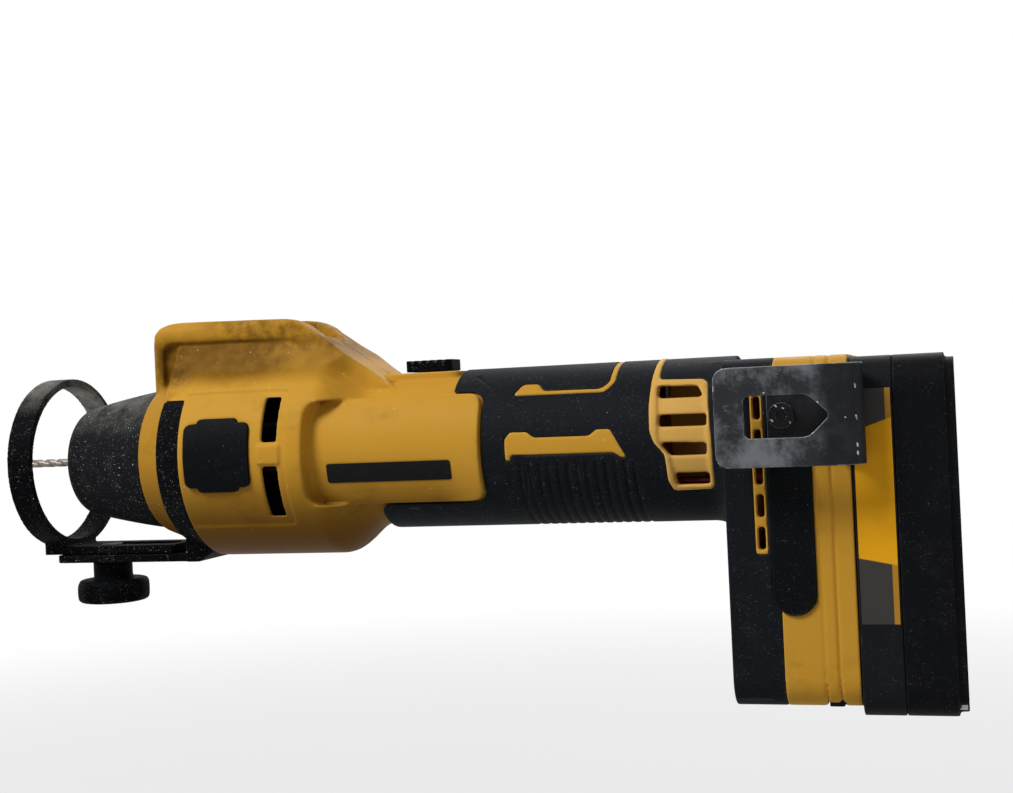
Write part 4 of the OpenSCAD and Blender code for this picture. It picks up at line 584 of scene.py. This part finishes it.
HUMP_FOOT = ((50, 152), (9, 40), (26, 47))
BADGE_FRONT = ((119.5, 127.5), (12, 40), (-22, 22))
SWITCH_STEM = ((160.0, 171.0), (1.8, 3.0), (24.0, 28.2))
HOUSING_FILLETS = [(HUMP_FOOT, 10), (BADGE_FRONT, 22)]
STEM_FILLETS = [(SWITCH_STEM, 8)]
MOULDINGS = [
    ("housing_left", 0.55, 4, 190, HOUSING_FILLETS),
    ("housing_right", 0.55, 4, 190, HOUSING_FILLETS),
    ("grip_left", 0.45, 3, 150),
    ("grip_right", 0.45, 3, 150),
    ("side_pads", 0.30, 4, 40),
    ("nose_boot", 0.45, 4, 60),
    ("guide_bracket", 0.40, 3, 50),
    ("depth_guide", 0.35, 3, 60),
    ("guide_knob", 0.35, 18, 40),
    ("foot_bumpers", 0.40, 4, 40),
    ("belt_hook", 0.28, 3, 70),
    ("hook_screw", 0.15, 3, 20),
    ("switch_slider", 0.28, 3, 40, STEM_FILLETS),
    ("bit_lever", 0.28, 4, 40),
    ("release_yoke", 0.22, 4, 30),
    ("pack_top_case", 0.50, 3, 100),
    ("pack_base_case", 0.50, 4, 100),
    ("pack_latch", 0.35, 3, 40),
]
for row in MOULDINGS:
    moulded(*row)

# %% [markdown]
# ## The cutting bit
# A drywall bit is a thin steel rod with two flutes wound along its front. The section is a
# circle with two hollows, extruded in short steps, and each step is turned a little, which
# winds the flutes. Past the flutes the same steps go on round, as the shank.

# %% Bit with wound flutes
BIT_SIDES = 28
POINT, FLUTES_END_X, PITCH = 3.0 * MM, 5.0 * MM, 11.0 * MM
FLUTE_STEP, SHANK_STEP = 0.6 * MM, 4.0 * MM
FLUTE_DEPTH, TIP_WIDTH = 0.42, 0.5
SHARP_ANGLE = math.radians(40)


def reach_at(angle, x, low_x, radius):
    """How far the bit's surface lies from its axis."""
    grow = min(1.0, TIP_WIDTH + (1 - TIP_WIDTH) * (x - low_x) / POINT)
    deep = 0.0
    if low_x + POINT < x < FLUTES_END_X:
        wound = angle - 2 * math.pi * (x - low_x) / PITCH
        deep = FLUTE_DEPTH * max(0.0, math.cos(2 * wound)) ** 2
    return radius * grow * (1 - deep)


def fluted_bit():
    low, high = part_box("cutting_bit")
    radius = (high.y - low.y) / 2
    shape = bmesh.new()
    bmesh.ops.create_circle(shape, cap_ends=True, segments=BIT_SIDES, radius=radius * TIP_WIDTH)
    bmesh.ops.rotate(shape, verts=shape.verts, cent=(0, 0, 0),
                     matrix=Matrix.Rotation(math.radians(90), 3, "Y"))
    bmesh.ops.translate(shape, verts=shape.verts, vec=(low.x, 0, 0))
    shape.faces.ensure_lookup_table()
    face, x = shape.faces[0], low.x
    while x < high.x - 1e-6:
        x += min(FLUTE_STEP if x < FLUTES_END_X else SHANK_STEP, high.x - x)
        made = bmesh.ops.extrude_face_region(shape, geom=[face])["geom"]
        bmesh.ops.delete(shape, geom=[face], context="FACES_ONLY")
        face = next(g for g in made if isinstance(g, bmesh.types.BMFace))
        for vert in face.verts:
            angle = math.atan2(vert.co.z, vert.co.y)
            reach = reach_at(angle, x, low.x, radius)
            vert.co = (x, reach * math.cos(angle), reach * math.sin(angle))
    bmesh.ops.recalc_face_normals(shape, faces=shape.faces)
    mesh = bpy.data.meshes.new("fluted_bit")
    shape.to_mesh(mesh)
    shape.free()
    mesh.materials.append(finishes["bit_steel"])
    mesh.shade_smooth()
    mesh.set_sharp_from_angle(angle=SHARP_ANGLE)
    piece = linked("fluted_bit", mesh)
    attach(piece, "bit")
    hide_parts("cutting_bit")
    print("bit", len(mesh.polygons), "faces")


fluted_bit()

# %% [markdown]
# ## The floor
# The tool is held in the air, so the pale floor lies as far below it as the pack slides. It
# keeps the shadow near the tool and fades to the white of the background further away. The
# lengths are in metres.

# %% Floor
PACK_TRAVEL = 0.118
FLOOR_HALF, FLOOR_X = 12.0, 0.15
FADE_X, FADE_NEAR, FADE_FAR = 0.17, 0.25, 1.1


def seen(tree):
    """1 where the ray comes from the camera, a reflection or clear plastic."""
    path = tree.nodes.new("ShaderNodeLightPath")
    value = path.outputs["Is Camera Ray"]
    for name in ("Is Glossy Ray", "Is Transmission Ray"):
        join = tree.nodes.new("ShaderNodeMath")
        join.operation = "MAXIMUM"
        tree.links.new(value, join.inputs[0])
        tree.links.new(path.outputs[name], join.inputs[1])
        value = join.outputs[0]
    return value


def make_floor(name):
    f = Finish(name, Specular_IOR_Level=0.0, Roughness=1.0)
    f.feed(Base_Color=f.blend(f.noise(400.0, 2.0), (0.50, 0.50, 0.50), (0.54, 0.54, 0.54)))
    x, y = f.axis("X") - FADE_X, f.axis("Y")
    away = (x * x + y * y).step(FADE_NEAR ** 2, FADE_FAR ** 2, 0.70, 1.0)
    glow = f.node("ShaderNodeEmission", None, {"Color": (1, 1, 1, 1), "Strength": 1.0})
    mixed = f.node("ShaderNodeMixShader", None, {
        0: away * Signal(f, seen(f.tree)), 1: Signal(f, f.shader.outputs[0]), 2: glow})
    f.tree.links.new(mixed.socket, f.tree.nodes["Material Output"].inputs["Surface"])
    return f.material


def studio_floor():
    height = cad_box[0].z - PACK_TRAVEL
    shape = bmesh.new()
    bmesh.ops.create_grid(shape, x_segments=1, y_segments=1, size=FLOOR_HALF)
    bmesh.ops.translate(shape, verts=shape.verts, vec=(FLOOR_X, 0, height))
    mesh = bpy.data.meshes.new("studio_floor")
    shape.to_mesh(mesh)
    shape.free()
    mesh.materials.append(make_floor("pale_floor"))
    floor = linked("studio_floor", mesh)
    print("floor at", round(height, 4))


studio_floor()

# %% [markdown]
# ## Light and background
# The photograph has a white background, so the world shows white to the camera and to
# reflections and gives a dimmer light to everything else. Three soft lamps give the light:
# the key from above and in front, a weak fill from the rear, and one from the far side.

# %% Studio
AMBIENT = 0.11
MIDDLE = (0.16, 0, -0.01)

world = bpy.data.worlds.new("studio")
world.use_nodes = True
bpy.context.scene.world = world
sky = world.node_tree
strength = sky.nodes.new("ShaderNodeMapRange")
sky.links.new(seen(sky), strength.inputs["Value"])
strength.inputs["To Min"].default_value = AMBIENT
strength.inputs["To Max"].default_value = 1.0
background = sky.nodes["Background"]
background.inputs["Color"].default_value = (1, 1, 1, 1)
sky.links.new(strength.outputs[0], background.inputs["Strength"])


def lamp(name, place, power, size):
    data = bpy.data.lights.new(name, "AREA")
    data.energy, data.size, data.shape = power, size, "DISK"
    obj = linked(name, data)
    obj.location = place
    obj.rotation_euler = (Vector(MIDDLE) - Vector(place)).to_track_quat("-Z", "Y").to_euler()


lamp("key", (-0.30, -0.72, 0.86), 13.0, 0.5)
lamp("fill", (0.95, -0.70, 0.35), 1.4, 0.7)
lamp("back", (0.30, 0.85, 0.70), 5.0, 0.7)
bpy.context.scene.view_settings.view_transform = "Standard"

# %% [markdown]
